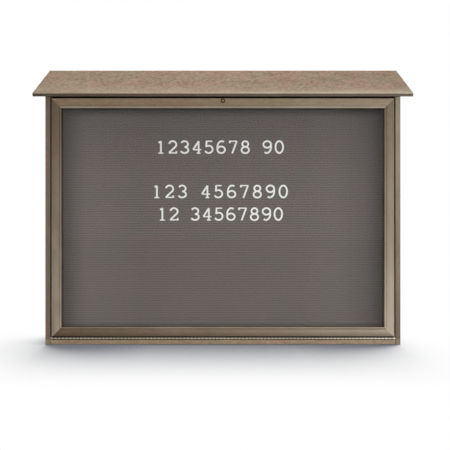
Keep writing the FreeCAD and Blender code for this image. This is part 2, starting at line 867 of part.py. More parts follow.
def make_lock_body():
    body = new_body("lock_body")
    bore = "lock_plug_diameter / 2 + plug_clearance"
    face = "lock_face_diameter / 2"
    revolve(body, [
        (bore, "collar_face"),
        (f"{face} - lock_collar / 2", "collar_face"),
        (face, "door_face"),
        ("lock_barrel_diameter / 2", "door_face"),
        ("lock_barrel_diameter / 2", "barrel_end"),
        (bore, "barrel_end"),
    ])
    keep("lock_body", at_lock(body))


def make_lock_nut():
    body = new_body("lock_nut")
    corners = []
    for turn in range(6):
        angle = 60 * turn
        reach = "nut_across / 2 / cos(30)"
        corners.append((f"{reach} * cos({angle})", f"{reach} * sin({angle})"))
    pad(body, "XZ_Plane", "door_back", "nut_thickness", corners)
    bore = "lock_barrel_diameter / 2 + plug_clearance"
    round_pocket(body, "XZ_Plane", "door_back", "nut_thickness", [("0", "0")], bore)
    keep("lock_nut", at_lock(body))


def square(half):
    return rectangle((f"-({half})", half), (f"-({half})", half))


def make_lock_plug():
    """The plug that the key turns: a slot in front, a square tang behind for the cam."""
    body = new_body("lock_plug")
    plug_face = "collar_face + plug_recess"
    revolve(body, [
        ("0", plug_face),
        ("lock_plug_diameter / 2", plug_face),
        ("lock_plug_diameter / 2", "cam_front"),
        ("0", "cam_front"),
    ])
    pad(body, "XZ_Plane", "cam_front", "cam_thickness", square("tang / 2"))
    slot = rectangle(
        ("-key_slot_width / 2", "key_slot_width / 2"),
        ("-key_slot_length / 2", "key_slot_length / 2"),
    )
    pocket(body, "XZ_Plane", f"{plug_face} - key_slot_depth", "2 * key_slot_depth", slot)
    keep("lock_plug", at_lock(body))


def make_lock_cam():
    """The cam lies level, clear of the keeper, and turns up behind it to lock."""
    body = new_body("lock_cam")
    heel = "-cam_boss_radius * cos(cam_shoulder)"
    tip = "cam_reach - cam_tip_radius * (1 - cos(cam_shoulder))"
    half_heel = "cam_boss_radius * sin(cam_shoulder)"
    half_tip = "cam_tip_radius * sin(cam_shoulder)"
    corners = [
        (heel, f"-{half_heel}"),
        (tip, f"-{half_tip}"),
        (tip, half_tip),
        (heel, half_heel),
    ]
    arcs = {1: ("cam_tip_radius", 1), 3: ("cam_boss_radius", 1)}
    hole = square("tang / 2 + tang_clearance")
    pad(body, "XZ_Plane", "cam_front", "cam_thickness", corners, arcs, holes=[hole])
    keep("lock_cam", at_lock(body))
    screw = document.addObject("Part::Prism", "cam_screw")
    screw.Polygon = 6
    screw.setExpression("Circumradius", full("cam_screw_diameter / 2"))
    screw.setExpression("Height", full("cam_screw_height"))
    place(screw, ("0", "cam_back", "lock_z"), BACKWARDS)
    keep("cam_screw", screw)


def make_keeper():
    width = ("-keeper_half_width", "keeper_half_width")
    depth = ("stop_front - keeper_thickness", "stop_front")
    keep("lock_keeper", block("lock_keeper", width, depth, ("keeper_low", "keeper_high")))


# Fasteners: countersunk screws, grouped by what they hold

SCREW_SIDES = 6


def make_prism(name, sides, radius, low, high):
    item = document.addObject("Part::Prism", name)
    item.Polygon = sides
    item.setExpression("Circumradius", full(radius))
    item.setExpression("Height", full(f"({high}) - ({low})"))
    item.setExpression(".Placement.Base.z", full(low))
    return item


def make_screw(name, head, shank, length):
    """One screw, driven along +Z, with a countersunk head that lies flush at Z = 0.

    The head's cone is a bevel that ends where the head is as narrow as the shank.
    """
    lip = "head_lip"
    side = f"cos({180 / SCREW_SIDES})"
    bevel = f"({head} - {shank}) / 2 * {side}"
    blank = make_prism(name + "_head", SCREW_SIDES, f"{head} / 2", "0", f"{lip} + {bevel}")
    document.recompute()
    cone = document.addObject("Part::Chamfer", name + "_cone")
    cone.Base = blank
    reach = value(bevel)
    inner_end = value(f"{lip} + {bevel}")
    edges = []
    for index, edge in enumerate(blank.Shape.Edges, start=1):
        if min(vertex.Z for vertex in edge.Vertexes) > inner_end - 1e-6:
            edges.append((index, reach, reach))
    cone.Edges = edges
    stem = make_prism(name + "_stem", SCREW_SIDES, f"{shank} / 2", f"{lip} + {bevel} / 2", length)
    screw = document.addObject("Part::Fuse", name)
    screw.Base = cone
    screw.Tool = stem
    return screw


def make_group(label, screw, positions):
    """Copies of one screw, each at its place and turned the way that it is driven."""
    links = []
    for x, y, z, turn in positions:
        link = document.addObject("App::Link", label + "_copy")
        link.LinkedObject = screw
        place(link, (x, y, z), turn)
        links.append(link)
    keep(label, join(label, links))


def make_fasteners():
    small = make_screw("small_screw", "small_head", "small_shank", "small_length")
    long = make_screw("long_screw", "long_head", "long_shank", "long_length")

    count = int(value("hinge_screw_count"))
    row_y = "pin_y + hinge_screw_inset"
    case_row = []
    door_row = []
    for index in range(count):
        x = f"-hinge_screw_half_spread + {index} * 2 * hinge_screw_half_spread / (hinge_screw_count - 1)"
        case_row.append((x, row_y, "board + leaf_thickness", DOWN))
        door_row.append((x, row_y, "door_low - leaf_thickness", UP))
    make_group("hinge_screws_case", small, case_row)
    make_group("hinge_screws_door", small, door_row)

    keeper_z = "(keeper_low + keeper_high) / 2"
    keeper_x = "(notch_half_width + keeper_half_width) / 2"
    keeper_y = "stop_front - keeper_thickness"
    keeper_row = [(side + keeper_x, keeper_y, keeper_z, BACKWARDS) for side in ("-", "")]
    make_group("keeper_screws", small, keeper_row)

    retainer_y = "(pane_back + retainer_back) / 2"
    window_middle = "(window_low + window_high) / 2"
    quarter_x = "window_half / 2"
    quarter_z = "(window_high - window_low) / 4"
    retainer_row = []
    for step in ("-", "+"):
        z = f"{window_middle} {step} {quarter_z}"
        retainer_row.append(("window_half", retainer_y, z, RIGHT))
        retainer_row.append(("-window_half", retainer_y, z, LEFT))
        x = f"{step} {quarter_x}"
        retainer_row.append((f"0 {x}", retainer_y, "window_high", UP))
        retainer_row.append((f"0 {x}", retainer_y, "window_low", DOWN))
    make_group("retainer_screws", small, retainer_row)

    middle_of_leg = "(bracket_inset + bracket_width / 2)"
    end_of_leg = "(bracket_inset + bracket_leg - bracket_width / 2)"
    bracket_row = []
    for side in ("", "-"):
        for edge, step in (("door_high", "-"), ("door_low", "+")):
            near_x = f"{side}(door_half - {middle_of_leg})"
            far_x = f"{side}(door_half - {end_of_leg})"
            bracket_row.append((near_x, "door_back", f"{edge} {step} {end_of_leg}", FORWARDS))
            bracket_row.append((far_x, "door_back", f"{edge} {step} {middle_of_leg}", FORWARDS))
    make_group("bracket_screws", small, bracket_row)

    rail_y = "(rail_front + back) / 2"
    cleat_z = under_roof("cleat_y") + " - cleat_height / 2"
    side_row = []
    for x, turn in (("outer_half", LEFT), ("-outer_half", RIGHT)):
        side_row.append((x, "stop_front", "board / 2", turn))
        side_row.append((x, "rail_front", "board / 2", turn))
        side_row.append((x, rail_y, "lower_bolt", turn))
        side_row.append((x, rail_y, "upper_bolt", turn))
        side_row.append((x, "cleat_y", cleat_z, turn))
    make_group("side_screws", long, side_row)

    back_row = []
    for side in ("-", ""):
        for z in ("lower_bolt", "upper_bolt"):
            back_row.append((f"{side}bolt_spread / 4", "panel_front", z, BACKWARDS))
    make_group("back_screws", long, back_row)

    lean = Rotation(Vector(1, 0, 0), value("roof_pitch"))
    roof_row = []
    for side in ("-", ""):
        for y in ("stop_back + roof_screw_inset", "cleat_y + roof_screw_offset"):
            x = f"{side}(inner_half - cleat_width / 2)"
            roof_row.append((x, y, under_roof(y) + " - cleat_height", lean))
    make_group("roof_screws", long, roof_row)


# Build

make_roof()
make_side_panel("side_panel_left", -1)
make_side_panel("side_panel_right", 1)
make_bottom_board()
make_back()
make_roof_cleat("roof_cleat_left", -1)
make_roof_cleat("roof_cleat_right", 1)
make_stops()
make_letter_board()
make_frame()
make_glazing()
make_hinge()
make_lock_body()
make_lock_nut()
make_lock_plug()
make_lock_cam()
make_keeper()
make_fasteners()
document.recompute()


# Check every object, then write each piece

for item in document.Objects:
    if "Invalid" in item.State or "Error" in item.State:
        raise RuntimeError("failed: " + item.Label)

os.makedirs("parts", exist_ok=True)
for piece in pieces:
    shape = piece.Shape
    if shape.isNull() or not shape.isValid() or not shape.Solids:
        raise RuntimeError("no sound shape: " + piece.Label)
    shape.exportStep(f"parts/{piece.Label}.step")
    box = shape.BoundBox
    print(
        f"{piece.Label}: {len(shape.Solids)} solid(s), {shape.Volume / 1000:.1f} cm3,"
        f" {box.XLength:.1f} x {box.YLength:.1f} x {box.ZLength:.1f}"
    )
print(len(pieces), "pieces")
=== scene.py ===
# %% [markdown]
# # A lockable notice board
#
# This notebook dresses a finished construction model of an outdoor notice board: a shallow
# case of recycled-plastic boards under a sloping roof, a glazed door that hangs on a long
# hinge along its lower edge, and a grey grooved letter board inside. The construction model
# is the frame. Nothing in it is moved or reshaped here. The notebook gives each of its parts
# a finish and adds what a construction model leaves plain: the rolled knuckles of the hinge,
# the lock's turned face, the recesses in the screws, and the digits on the letter board.
#
# All lengths are in metres. MM stands for one millimetre.

import json
import math

import bpy
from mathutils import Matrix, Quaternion, Vector


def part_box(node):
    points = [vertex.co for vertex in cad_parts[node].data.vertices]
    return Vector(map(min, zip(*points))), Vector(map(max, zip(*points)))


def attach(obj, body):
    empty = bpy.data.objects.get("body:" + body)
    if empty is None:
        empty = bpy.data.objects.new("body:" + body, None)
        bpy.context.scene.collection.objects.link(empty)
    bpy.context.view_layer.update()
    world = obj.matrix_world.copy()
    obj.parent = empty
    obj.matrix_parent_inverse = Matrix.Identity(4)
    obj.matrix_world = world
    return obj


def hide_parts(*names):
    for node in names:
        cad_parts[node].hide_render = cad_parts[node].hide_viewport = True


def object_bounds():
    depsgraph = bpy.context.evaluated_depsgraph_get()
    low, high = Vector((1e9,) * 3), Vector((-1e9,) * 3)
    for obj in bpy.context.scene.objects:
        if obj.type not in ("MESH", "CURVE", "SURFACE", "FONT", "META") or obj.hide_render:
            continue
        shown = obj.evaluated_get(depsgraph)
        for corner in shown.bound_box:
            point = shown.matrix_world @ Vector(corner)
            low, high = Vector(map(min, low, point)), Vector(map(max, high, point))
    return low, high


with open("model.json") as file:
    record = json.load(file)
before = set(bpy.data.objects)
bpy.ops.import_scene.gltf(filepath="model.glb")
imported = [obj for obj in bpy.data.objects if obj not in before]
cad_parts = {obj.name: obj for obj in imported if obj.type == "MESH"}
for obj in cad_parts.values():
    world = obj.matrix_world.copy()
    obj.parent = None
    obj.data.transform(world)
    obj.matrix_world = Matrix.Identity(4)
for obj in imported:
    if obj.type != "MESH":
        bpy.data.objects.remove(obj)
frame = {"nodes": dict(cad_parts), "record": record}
cad_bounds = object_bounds()
nodes = frame["nodes"]
record = frame["record"]
MM = 0.001
bpy.ops.object.select_all(action="DESELECT")

# %% [markdown]
# ## The camera
#
# The photograph was taken from straight in front, a little below the middle of the window. We
# could turn a camera by eye until the picture looks right, but a frontal view of a box with a
# known size can be solved: the roof's front and back edges have the same length, so the ratio
# of their lengths in the picture gives the distance, and the distance gives the lens. The
# horizon passes through the middle of the picture, so the camera is level and needs no shift.

# %% Camera
PHOTO_SIDE = 450
FOCAL_PIXELS = 570.2
SENSOR_WIDTH = 36.0
EYE = Vector((0.0074, -2.0752, 0.4178))

bpy.ops.object.camera_add(location=EYE, rotation=(math.radians(90), 0, 0))
camera = bpy.context.object
camera.name = "photo_camera"
camera.data.sensor_width = SENSOR_WIDTH
camera.data.lens = FOCAL_PIXELS / PHOTO_SIDE * SENSOR_WIDTH
camera.data.clip_end = 60
bpy.context.scene.camera = camera
print("lens:", round(camera.data.lens, 2), "mm")


def at_pixel(column, row, depth):
    """The point that shows at a pixel of the photograph, on the upright plane y = depth."""
    reach = (depth - EYE.y) / FOCAL_PIXELS
    middle = PHOTO_SIDE / 2
    return Vector((EYE.x + (column - middle) * reach, depth, EYE.z - (row - middle) * reach))


# %% [markdown]
# ## Node helpers
#
# Materials are trees of small nodes. A few helpers keep their code short: one adds a node,
# one mixes two colours, one spreads a stretch of values over another. Colours are written as
# the eye reads them in a picture, from 0 to 255, and turned into the linear light that the
# renderer works in.

# %% Node helpers
def linear(red, green, blue):
    """A picture colour, 0 to 255, as linear light."""
    channels = []
    for channel in (red, green, blue):
        share = channel / 255
        channels.append(share / 12.92 if share <= 0.04045 else ((share + 0.055) / 1.055) ** 2.4)
    return (*channels, 1.0)


def add_node(tree, kind, settings=None, inputs=None):
    item = tree.nodes.new(kind)
    for key, setting in (settings or {}).items():
        setattr(item, key, setting)
    for key, source in (inputs or {}).items():
        socket = item.inputs[key]
        if isinstance(source, bpy.types.NodeSocket):
            tree.links.new(source, socket)
        else:
            socket.default_value = source
    return item


def mix_colors(tree, factor, first, second, blend="MIX"):
    """Socket numbers 0, 6 and 7 of a Mix node are its factor and its two colours."""
    settings = {"data_type": "RGBA", "blend_type": blend, "clamp_factor": True}
    return add_node(tree, "ShaderNodeMix", settings, {0: factor, 6: first, 7: second}).outputs[2]


def calculate(tree, operation, first, second=0.5):
    node = add_node(tree, "ShaderNodeMath", {"operation": operation}, {0: first, 1: second})
    return node.outputs[0]


def multiply(tree, first, second):
    return calculate(tree, "MULTIPLY", first, second)


def share_along(tree, vector, axis):
    """The vector's X, Y or Z, for axis 0, 1 or 2."""
    return add_node(tree, "ShaderNodeSeparateXYZ", None, {0: vector}).outputs[axis]


def remap(tree, value, low, high, new_low=0.0, new_high=1.0):
    """The value's stretch from low to high, spread from new_low to new_high."""
    inputs = {"Value": value, "From Min": low, "From Max": high}
    inputs.update({"To Min": new_low, "To Max": new_high})
    return add_node(tree, "ShaderNodeMapRange", {"clamp": True}, inputs).outputs[0]


def noise(tree, vector, scale, detail=3.0, roughness=0.55):
    inputs = {"Vector": vector, "Scale": scale, "Detail": detail, "Roughness": roughness}
    return add_node(tree, "ShaderNodeTexNoise", None, inputs).outputs[0]


def open_sky(tree, reach):
    """1 where nothing stands within reach of the surface, towards 0 in a joint or a groove."""
    settings = {"samples": 8}
    return add_node(tree, "ShaderNodeAmbientOcclusion", settings, {"Distance": reach}).outputs["AO"]


def mix_shaders(tree, factor, first, second, output="Material Output"):
    """Show the first shader where the factor is 0 and the second where it is 1."""
    both = add_node(tree, "ShaderNodeMixShader", None, {0: factor, 1: first, 2: second})
    tree.links.new(both.outputs[0], tree.nodes[output].inputs["Surface"])


def shader_group(name, inputs, outputs):
    """An empty group with named sockets; returns the group and its two end nodes."""
    group = bpy.data.node_groups.new(name, "ShaderNodeTree")
    for label, kind, start in inputs:
        socket = group.interface.new_socket(label, in_out="INPUT", socket_type=kind)
        if start is not None:
            socket.default_value = start
    for label, kind in outputs:
        group.interface.new_socket(label, in_out="OUTPUT", socket_type=kind)
    return group, group.nodes.new("NodeGroupInput"), group.nodes.new("NodeGroupOutput")


COLOR = "NodeSocketColor"
FLOAT = "NodeSocketFloat"
VECTOR = "NodeSocketVector"

# %% [markdown]
# ## The look of recycled board
#
# Boards of recycled plastic are extruded, so their colour lies in soft streaks along the
# board, with patches that lean to pink and to olive, tiny flecks of the plastics that didn't
# blend, and a faint orange-peel skin. All boards share one group. Each material gives it its
# own colours, and turns the streaks along the board by squeezing the coordinates.

# %% Group for the boards
BOARD_SOCKETS = [
    ("Vector", VECTOR, None),
    ("Base", COLOR, (0.3, 0.25, 0.2, 1)),
    ("Patch", COLOR, (0.3, 0.25, 0.2, 1)),
    ("Fleck", COLOR, (0.1, 0.08, 0.06, 1)),
    ("Contrast", FLOAT, 0.2),
]


def make_board_group():
    outputs = [("Color", COLOR), ("Height", FLOAT)]
    group, start, end = shader_group("Board grain", BOARD_SOCKETS, outputs)
    place = start.outputs["Vector"]
    patches = remap(group, noise(group, place, 16, 4), 0.4, 0.6)
    color = mix_colors(group, patches, start.outputs["Base"], start.outputs["Patch"])
    blotches = noise(group, place, 110, 3, 0.6)
    specks = noise(group, place, 280, 2, 0.6)
    mottle = calculate(group, "ADD", multiply(group, specks, 0.6), blotches)
    spread = calculate(group, "SUBTRACT", mottle, 0.8)
    spread = multiply(group, spread, start.outputs["Contrast"])
    gain = calculate(group, "ADD", multiply(group, spread, 2.6), 1.0)
    gray = add_node(group, "ShaderNodeCombineColor", None, {0: gain, 1: gain, 2: gain}).outputs[0]
    color = mix_colors(group, 1.0, color, gray, "MULTIPLY")
    cells = add_node(group, "ShaderNodeTexVoronoi", None, {"Vector": place, "Scale": 330.0})
    fleck = remap(group, cells.outputs["Distance"], 0.16, 0.3, 0.55, 0.0)
    rare = remap(group, noise(group, place, 120, 1), 0.5, 0.6)
    color = mix_colors(group, multiply(group, fleck, rare), color, start.outputs["Fleck"])
    fine = noise(group, place, 900, 2)
    height = calculate(group, "ADD", multiply(group, fine, 0.4), mottle)
    group.links.new(color, end.inputs["Color"])
    group.links.new(height, end.inputs["Height"])
    return group


board_group = make_board_group()

# %% [markdown]
# ## Dust, wear and painted shade that every board shares
#
# Dust settles on what faces up. What faces down is darkened as painted shade, with some grime, and the
# joints and gaps are darkened towards black as painted shade. Edges are paler, partly as rubbed wear
# and partly as a painted highlight. The surface's own normal tells which way it faces. Ambient
# Occlusion finds the joints, because close neighbours block its rays. The Bevel node finds the edges:
# it rounds the normal near one, so where the rounded normal leaves the true one, there is an edge. One
# group works out all of it and lays it over any colour.

# %% Group for dust, painted shade and pale edges
JOINT_REACH = 22 * MM
EDGE_REACH = 1.4 * MM
DUST = (190, 178, 162)
# Painted shade on what faces down, with some grime.
UNDERSIDE_SHADE_AND_GRIME = (56, 45, 35)
# Pale edges: rubbed wear and a painted highlight.
RUBBED_AND_HIGHLIGHT = (196, 182, 160)
# Painted shade in joints and gaps.
JOINT_SHADE = (30, 23, 17)


def make_weather_and_shade_group():
    sockets = [("Vector", VECTOR, None), ("Color", COLOR, (0.5, 0.5, 0.5, 1)), ("Amount", FLOAT, 0.3)]
    group, start, end = shader_group("Weather and painted shade", sockets, [("Color", COLOR)])
    amount = start.outputs["Amount"]
    normal = add_node(group, "ShaderNodeNewGeometry").outputs["Normal"]
    facing = share_along(group, normal, 2)
    cloud = remap(group, noise(group, start.outputs["Vector"], 22, 4), 0.35, 0.7)
    upward = multiply(group, remap(group, facing, 0.1, 1.0), cloud)
    upward = multiply(group, upward, amount)
    color = mix_colors(group, upward, start.outputs["Color"], linear(*DUST))
    # What faces down is darkened: painted shade on the undersides, with some grime.
    shaded_underside = multiply(group, remap(group, facing, -0.03, -0.6, 0.0, 3.0), amount)
    color = mix_colors(group, shaded_underside, color, linear(*UNDERSIDE_SHADE_AND_GRIME))
    # Paler edges: partly rubbed wear, partly a painted highlight.
    rounded = add_node(group, "ShaderNodeBevel", {"samples": 4}, {"Radius": EDGE_REACH}).outputs[0]
    inputs = {0: rounded, 1: normal}
    agree = add_node(group, "ShaderNodeVectorMath", {"operation": "DOT_PRODUCT"}, inputs)
    edge_wear_and_highlight = remap(group, agree.outputs["Value"], 0.99, 0.8)
    edge_wear_and_highlight = multiply(group, multiply(group, edge_wear_and_highlight, cloud), amount)
    color = mix_colors(group, edge_wear_and_highlight, color, linear(*RUBBED_AND_HIGHLIGHT))
    # Joints and gaps darkened by Ambient Occlusion: painted shade.
    shaded_joints = remap(group, open_sky(group, JOINT_REACH), 0.6, 0.1, 0.0, 0.9)
    shaded_joints = multiply(group, shaded_joints, remap(group, facing, -0.9, -0.1, 0.2, 1.0))
    color = mix_colors(group, shaded_joints, color, linear(*JOINT_SHADE))
    group.links.new(color, end.inputs["Color"])
    return group


weather_and_shade_group = make_weather_and_shade_group()

# %% [markdown]
# Some boards also change from one end to the other, where the light on them changes: the door's stiles
# are painted paler towards their lower ends, and the roof towards its front edge. A third group lays a
# film over a colour, from nothing at one place along a direction to its full amount at another. The
# pale films are painted light and the dark ones painted shade, such as the shade along the door's
# lower edge.

# %% Group for a film
# Pale films are painted light.
PAINTED_LIGHT = (186, 172, 153)
# Dark films are painted shade.
PAINTED_SHADE = (22, 17, 13)


def make_film_group():
    sockets = [
        ("Vector", VECTOR, None), ("Color", COLOR, (0.5, 0.5, 0.5, 1)), ("Film", COLOR, linear(*PAINTED_LIGHT)),
        ("Place", FLOAT, 0.0), ("Start", FLOAT, 0.0), ("End", FLOAT, 1.0), ("Amount", FLOAT, 0.3),
    ]
    group, start, end = shader_group("Film", sockets, [("Color", COLOR)])
    inputs = {
        "Value": start.outputs["Place"], "From Min": start.outputs["Start"],
        "From Max": start.outputs["End"], "To Max": start.outputs["Amount"],
    }
    film = add_node(group, "ShaderNodeMapRange", {"clamp": True}, inputs).outputs[0]
    cloud = remap(group, noise(group, start.outputs["Vector"], 18, 4), 0.3, 0.7, 0.7, 1.2)
    film = multiply(group, film, cloud)
    color = mix_colors(group, film, start.outputs["Color"], start.outputs["Film"])
    group.links.new(color, end.inputs["Color"])
    return group


film_group = make_film_group()

# %% [markdown]
# ## From groups to a material
#
# The three groups are now chained: the grain makes the colour, each film of painted light or shade is
# laid over it, and the dust, wear and painted shade come last. A board's streaks run along its length,
# so an upright board squeezes the pattern in Z and a level one in X.

# %% Board material
BOARD_RELIEF = 0.15 * MM
FLECK_SHARE = 0.55
ALONG_X = (0.45, 1.0, 1.0)
ALONG_Z = (1.0, 1.0, 0.45)
ALONG_ROOF = (0.7, 1.0, 1.0)
ALL_WAYS = (1.0, 1.0, 1.0)


def object_vector(tree, squeeze=ALL_WAYS):
    coordinates = add_node(tree, "ShaderNodeTexCoord")
    mapping = add_node(tree, "ShaderNodeMapping", None, {"Vector": coordinates.outputs["Object"]})
    mapping.inputs["Scale"].default_value = squeeze
    return mapping.outputs[0]


def plain_material(name, roughness, specular=0.5):
    made = bpy.data.materials.new(name)
    made.use_nodes = True
    shader = made.node_tree.nodes["Principled BSDF"]
    shader.inputs["Roughness"].default_value = roughness
    shader.inputs["Specular IOR Level"].default_value = specular
    return made, made.node_tree, shader


def bump(tree, shader, height, distance, strength=1.0):
    """Give the shader a relief of that height, in metres."""
    inputs = {"Height": height, "Distance": distance, "Strength": strength}
    node = add_node(tree, "ShaderNodeBump", None, inputs)
    tree.links.new(node.outputs[0], shader.inputs["Normal"])


def board_material(
    name, squeeze, base, patch, roughness, contrast=0.22, weather_and_shade=0.25, films=(), specular=0.35
):
    """Each film is a direction, two places along it in metres, the amount and the colour."""
    made, tree, shader = plain_material(name, roughness, specular)
    vector = object_vector(tree, squeeze)
    grain = add_node(tree, "ShaderNodeGroup", {"node_tree": board_group}, {
        "Vector": vector,
        "Base": linear(*base),
        "Patch": linear(*patch),
        "Fleck": linear(*(channel * FLECK_SHARE for channel in base)),
        "Contrast": contrast,
    })
    color = grain.outputs["Color"]
    for direction, first, last, amount, tint in films:
        inputs = {0: object_vector(tree), 1: direction}
        place = add_node(tree, "ShaderNodeVectorMath", {"operation": "DOT_PRODUCT"}, inputs)
        color = add_node(tree, "ShaderNodeGroup", {"node_tree": film_group}, {
            "Vector": vector, "Color": color, "Film": linear(*tint),
            "Place": place.outputs["Value"], "Start": first, "End": last, "Amount": amount,
        }).outputs["Color"]
    # Dust and wear, with painted shade on undersides and in joints and a painted highlight on edges.
    worn = add_node(tree, "ShaderNodeGroup", {"node_tree": weather_and_shade_group}, {
        "Vector": vector, "Color": color, "Amount": weather_and_shade,
    })
    tree.links.new(worn.outputs["Color"], shader.inputs["Base Color"])
    bump(tree, shader, grain.outputs["Height"], BOARD_RELIEF)
    return made


# %% [markdown]
# ## Where the light falls
#
# Each film is written with the sizes of the parts that it lies on. The roof is painted paler along its
# front, where the light from above falls most, and a little darker towards its right end. Its thin
# front edge is painted paler on the right and darker on the left, where the light doesn't reach. Each
# of the door's four pieces is painted paler by its own amount, as painted light: most at the lower
# right corner, least at the upper left one. A painted highlight runs along the round bead, and painted
# shade runs along the lower edge of the bottom rail. The left side is painted darker towards the top,
# as the roof's shadow, and the right side paler towards the top. The lowest ends of the side panels
# and the lower edge of the bottom board are painted paler, as the light on the bottom board. For the
# thin front edge the direction leans forward so strongly that a few centimetres further back nothing
# of the film is left.

# %% Films
X = (1, 0, 0)
Y = (0, 1, 0)
Z = (0, 0, 1)
BEAD = 6 * MM
ROOF_FRONT_LIGHT = 70 * MM
EDGE_LEAN = -30
LOW_LIGHT_START = 0.3
LOW_LIGHT_FULL = 0.05
roof_low, roof_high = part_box("roof_board")
door_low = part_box("rail_bottom")[0]
door_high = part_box("rail_top")[1]
top_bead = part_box("rail_top")[0].z + BEAD
bottom_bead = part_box("rail_bottom")[1].z - BEAD
base_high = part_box("bottom_board")[1].z
roof_front = EDGE_LEAN * roof_low.y
roof_end = roof_front + roof_high.x

# Painted light along the roof's front and on the right of its thin front edge; painted shade towards
# the right end and on the left of the front edge.
ROOF_FILMS = [
    (Y, roof_low.y + ROOF_FRONT_LIGHT, roof_low.y, 0.36, PAINTED_LIGHT),
    (X, -0.2, roof_high.x, 0.08, PAINTED_SHADE),
    ((1, EDGE_LEAN, 0), roof_front - 0.5, roof_end, 0.8, PAINTED_LIGHT),
    ((-1, EDGE_LEAN, 0), roof_front, roof_end, 0.25, PAINTED_SHADE),
]
# Painted light: the stiles are paler towards their lower ends, and the right one more near its foot.
LEFT_STILE_FILMS = [(Z, door_high.z, door_low.z, 0.66, PAINTED_LIGHT)]
RIGHT_STILE_FILMS = [
    (Z, door_high.z, door_low.z, 0.62, PAINTED_LIGHT),
    (Z, LOW_LIGHT_START, LOW_LIGHT_FULL, 0.68, PAINTED_LIGHT),
]
# Painted light: the top rail is paler to the right, with a painted highlight along its bead.
TOP_FILMS = [
    (X, door_low.x / 3, door_high.x, 0.2, PAINTED_LIGHT),
    (Z, top_bead + MM, top_bead, 0.6, PAINTED_LIGHT),
]
# Painted light: the bottom rail is paler to the right, with a painted highlight along its bead;
# painted shade along its lower edge, above the hinge.
BOTTOM_FILMS = [
    (X, door_low.x, door_high.x, 0.4, PAINTED_LIGHT),
    (X, door_high.x / 3, door_high.x, 0.25, PAINTED_LIGHT),
    (Z, bottom_bead - MM, bottom_bead, 0.2, PAINTED_LIGHT),
    (Z, door_low.z + 6.5 * MM, door_low.z + 4.5 * MM, 0.95, PAINTED_SHADE),
]
# Painted light: the side panels' lowest ends are as pale as the bottom board.
END_FILM = (Z, base_high + MM, base_high - MM, 0.3, PAINTED_LIGHT)
# Painted shade: the left side darker towards the top, under the roof. Painted light: the right side
# paler towards the top.
LEFT_SIDE_FILMS = [(Z, 0.6, door_high.z, 0.22, PAINTED_SHADE), END_FILM]
RIGHT_SIDE_FILMS = [(Z, 0.0, door_high.z, 0.45, PAINTED_LIGHT), END_FILM]
# Painted light along the bottom board's lower edge.
BASE_FILMS = [(Z, 5 * MM, MM, 0.5, PAINTED_LIGHT)]

# %% [markdown]
# ## The boards' finishes
#
# The roof is a shade paler and pinker than the sides, and its surface a little rougher, because it
# lies in the sun. The door's moulded section is darker and slightly satin. The two colours of each
# finish are its ground and its patches. The two sides, the two stiles and the two rails are one
# plastic each, but their grounds differ as painted light and shade: the right side is darker than the
# left beneath its pale film, the left stile darker than the right, and the bottom rail darker than the
# top rail. The level boards have a paler ground than the upright ones, as painted light on the bottom
# board.

# %% Board finishes
roof_finish = board_material(
    "Roof board", ALONG_ROOF, (131, 113, 87), (141, 112, 92), 0.7, 1.0, films=ROOF_FILMS
)
left_side = board_material(
    "Upright board", ALONG_Z, (118, 106, 86), (122, 105, 88), 0.6, films=LEFT_SIDE_FILMS
)
# Right side: a darker ground than the left, painted paler towards the top, as painted light.
right_side = board_material(
    "Right side board, painted light", ALONG_Z, (105, 93, 76), (110, 93, 79), 0.6, films=RIGHT_SIDE_FILMS
)
# A paler ground than the upright boards: painted light on the bottom board.
level_board = board_material(
    "Level board", ALONG_X, (161, 142, 114), (167, 141, 117), 0.6, 0.4, 0.05, BASE_FILMS
)
# Painted light and shade: the stiles and rails have different grounds, with the left stile darker than
# the right.
left_stile = board_material(
    "Left stile", ALONG_Z, (87, 74, 55), (90, 74, 58), 0.5, 0.2, 0.1, LEFT_STILE_FILMS
)
right_stile = board_material(
    "Right stile", ALONG_Z, (104, 91, 69), (108, 90, 71), 0.5, 0.2, 0.1, RIGHT_STILE_FILMS
)
top_rail = board_material(
    "Top rail", ALONG_X, (122, 106, 81), (125, 105, 84), 0.5, 0.25, 0.06, TOP_FILMS
)
# A darker ground than the top rail: painted shade.
bottom_rail = board_material(
    "Bottom rail", ALONG_X, (98, 82, 62), (102, 80, 65), 0.5, 0.3, 0.3, BOTTOM_FILMS
)
panel_finish = board_material("Back panel", ALONG_X, (118, 104, 88), (112, 98, 84), 0.65)
strip_finish = board_material("Dark strip", ALONG_X, (92, 80, 66), (86, 75, 62), 0.6)
# Painted shade: near black for the strips round the door and the header rail, which stand in the shade
# of the joint and of the gap under the roof.
shaded_inner_finish = board_material(
    "Inner board, painted shade", ALONG_X, (24, 19, 16), (21, 18, 15), 0.8, specular=0.03
)
outside = [roof_finish, left_side, right_side, level_board]
door_boards = [left_stile, right_stile, top_rail, bottom_rail]
print("board finishes:", len(outside), "outside and", len(door_boards), "on the door")

# %% [markdown]
# ## Felt on the letter board
#
# The letter board is covered in grey felt that is tucked into each groove. The grooves are real, and
# the material adds the nap: short fibres that catch a little light at a low angle, which a sheen layer
# does, and fine pale lint over a ground of two close greys. It also paints shade into the grooves,
# where Ambient Occlusion finds them, and near the top, under the roof, and it paints the felt paler
# towards both ends, as painted light.

# %% Felt material
GROOVE_REACH = 3 * MM
# Painted shade in the grooves and near the top.
FELT_SHADE = (38, 34, 33)
# Painted light towards both ends.
FELT_LIGHT = (186, 178, 174)
LIT_ENDS = (0.3, 0.55)
SHADED_TOP = (0.6, 0.82)


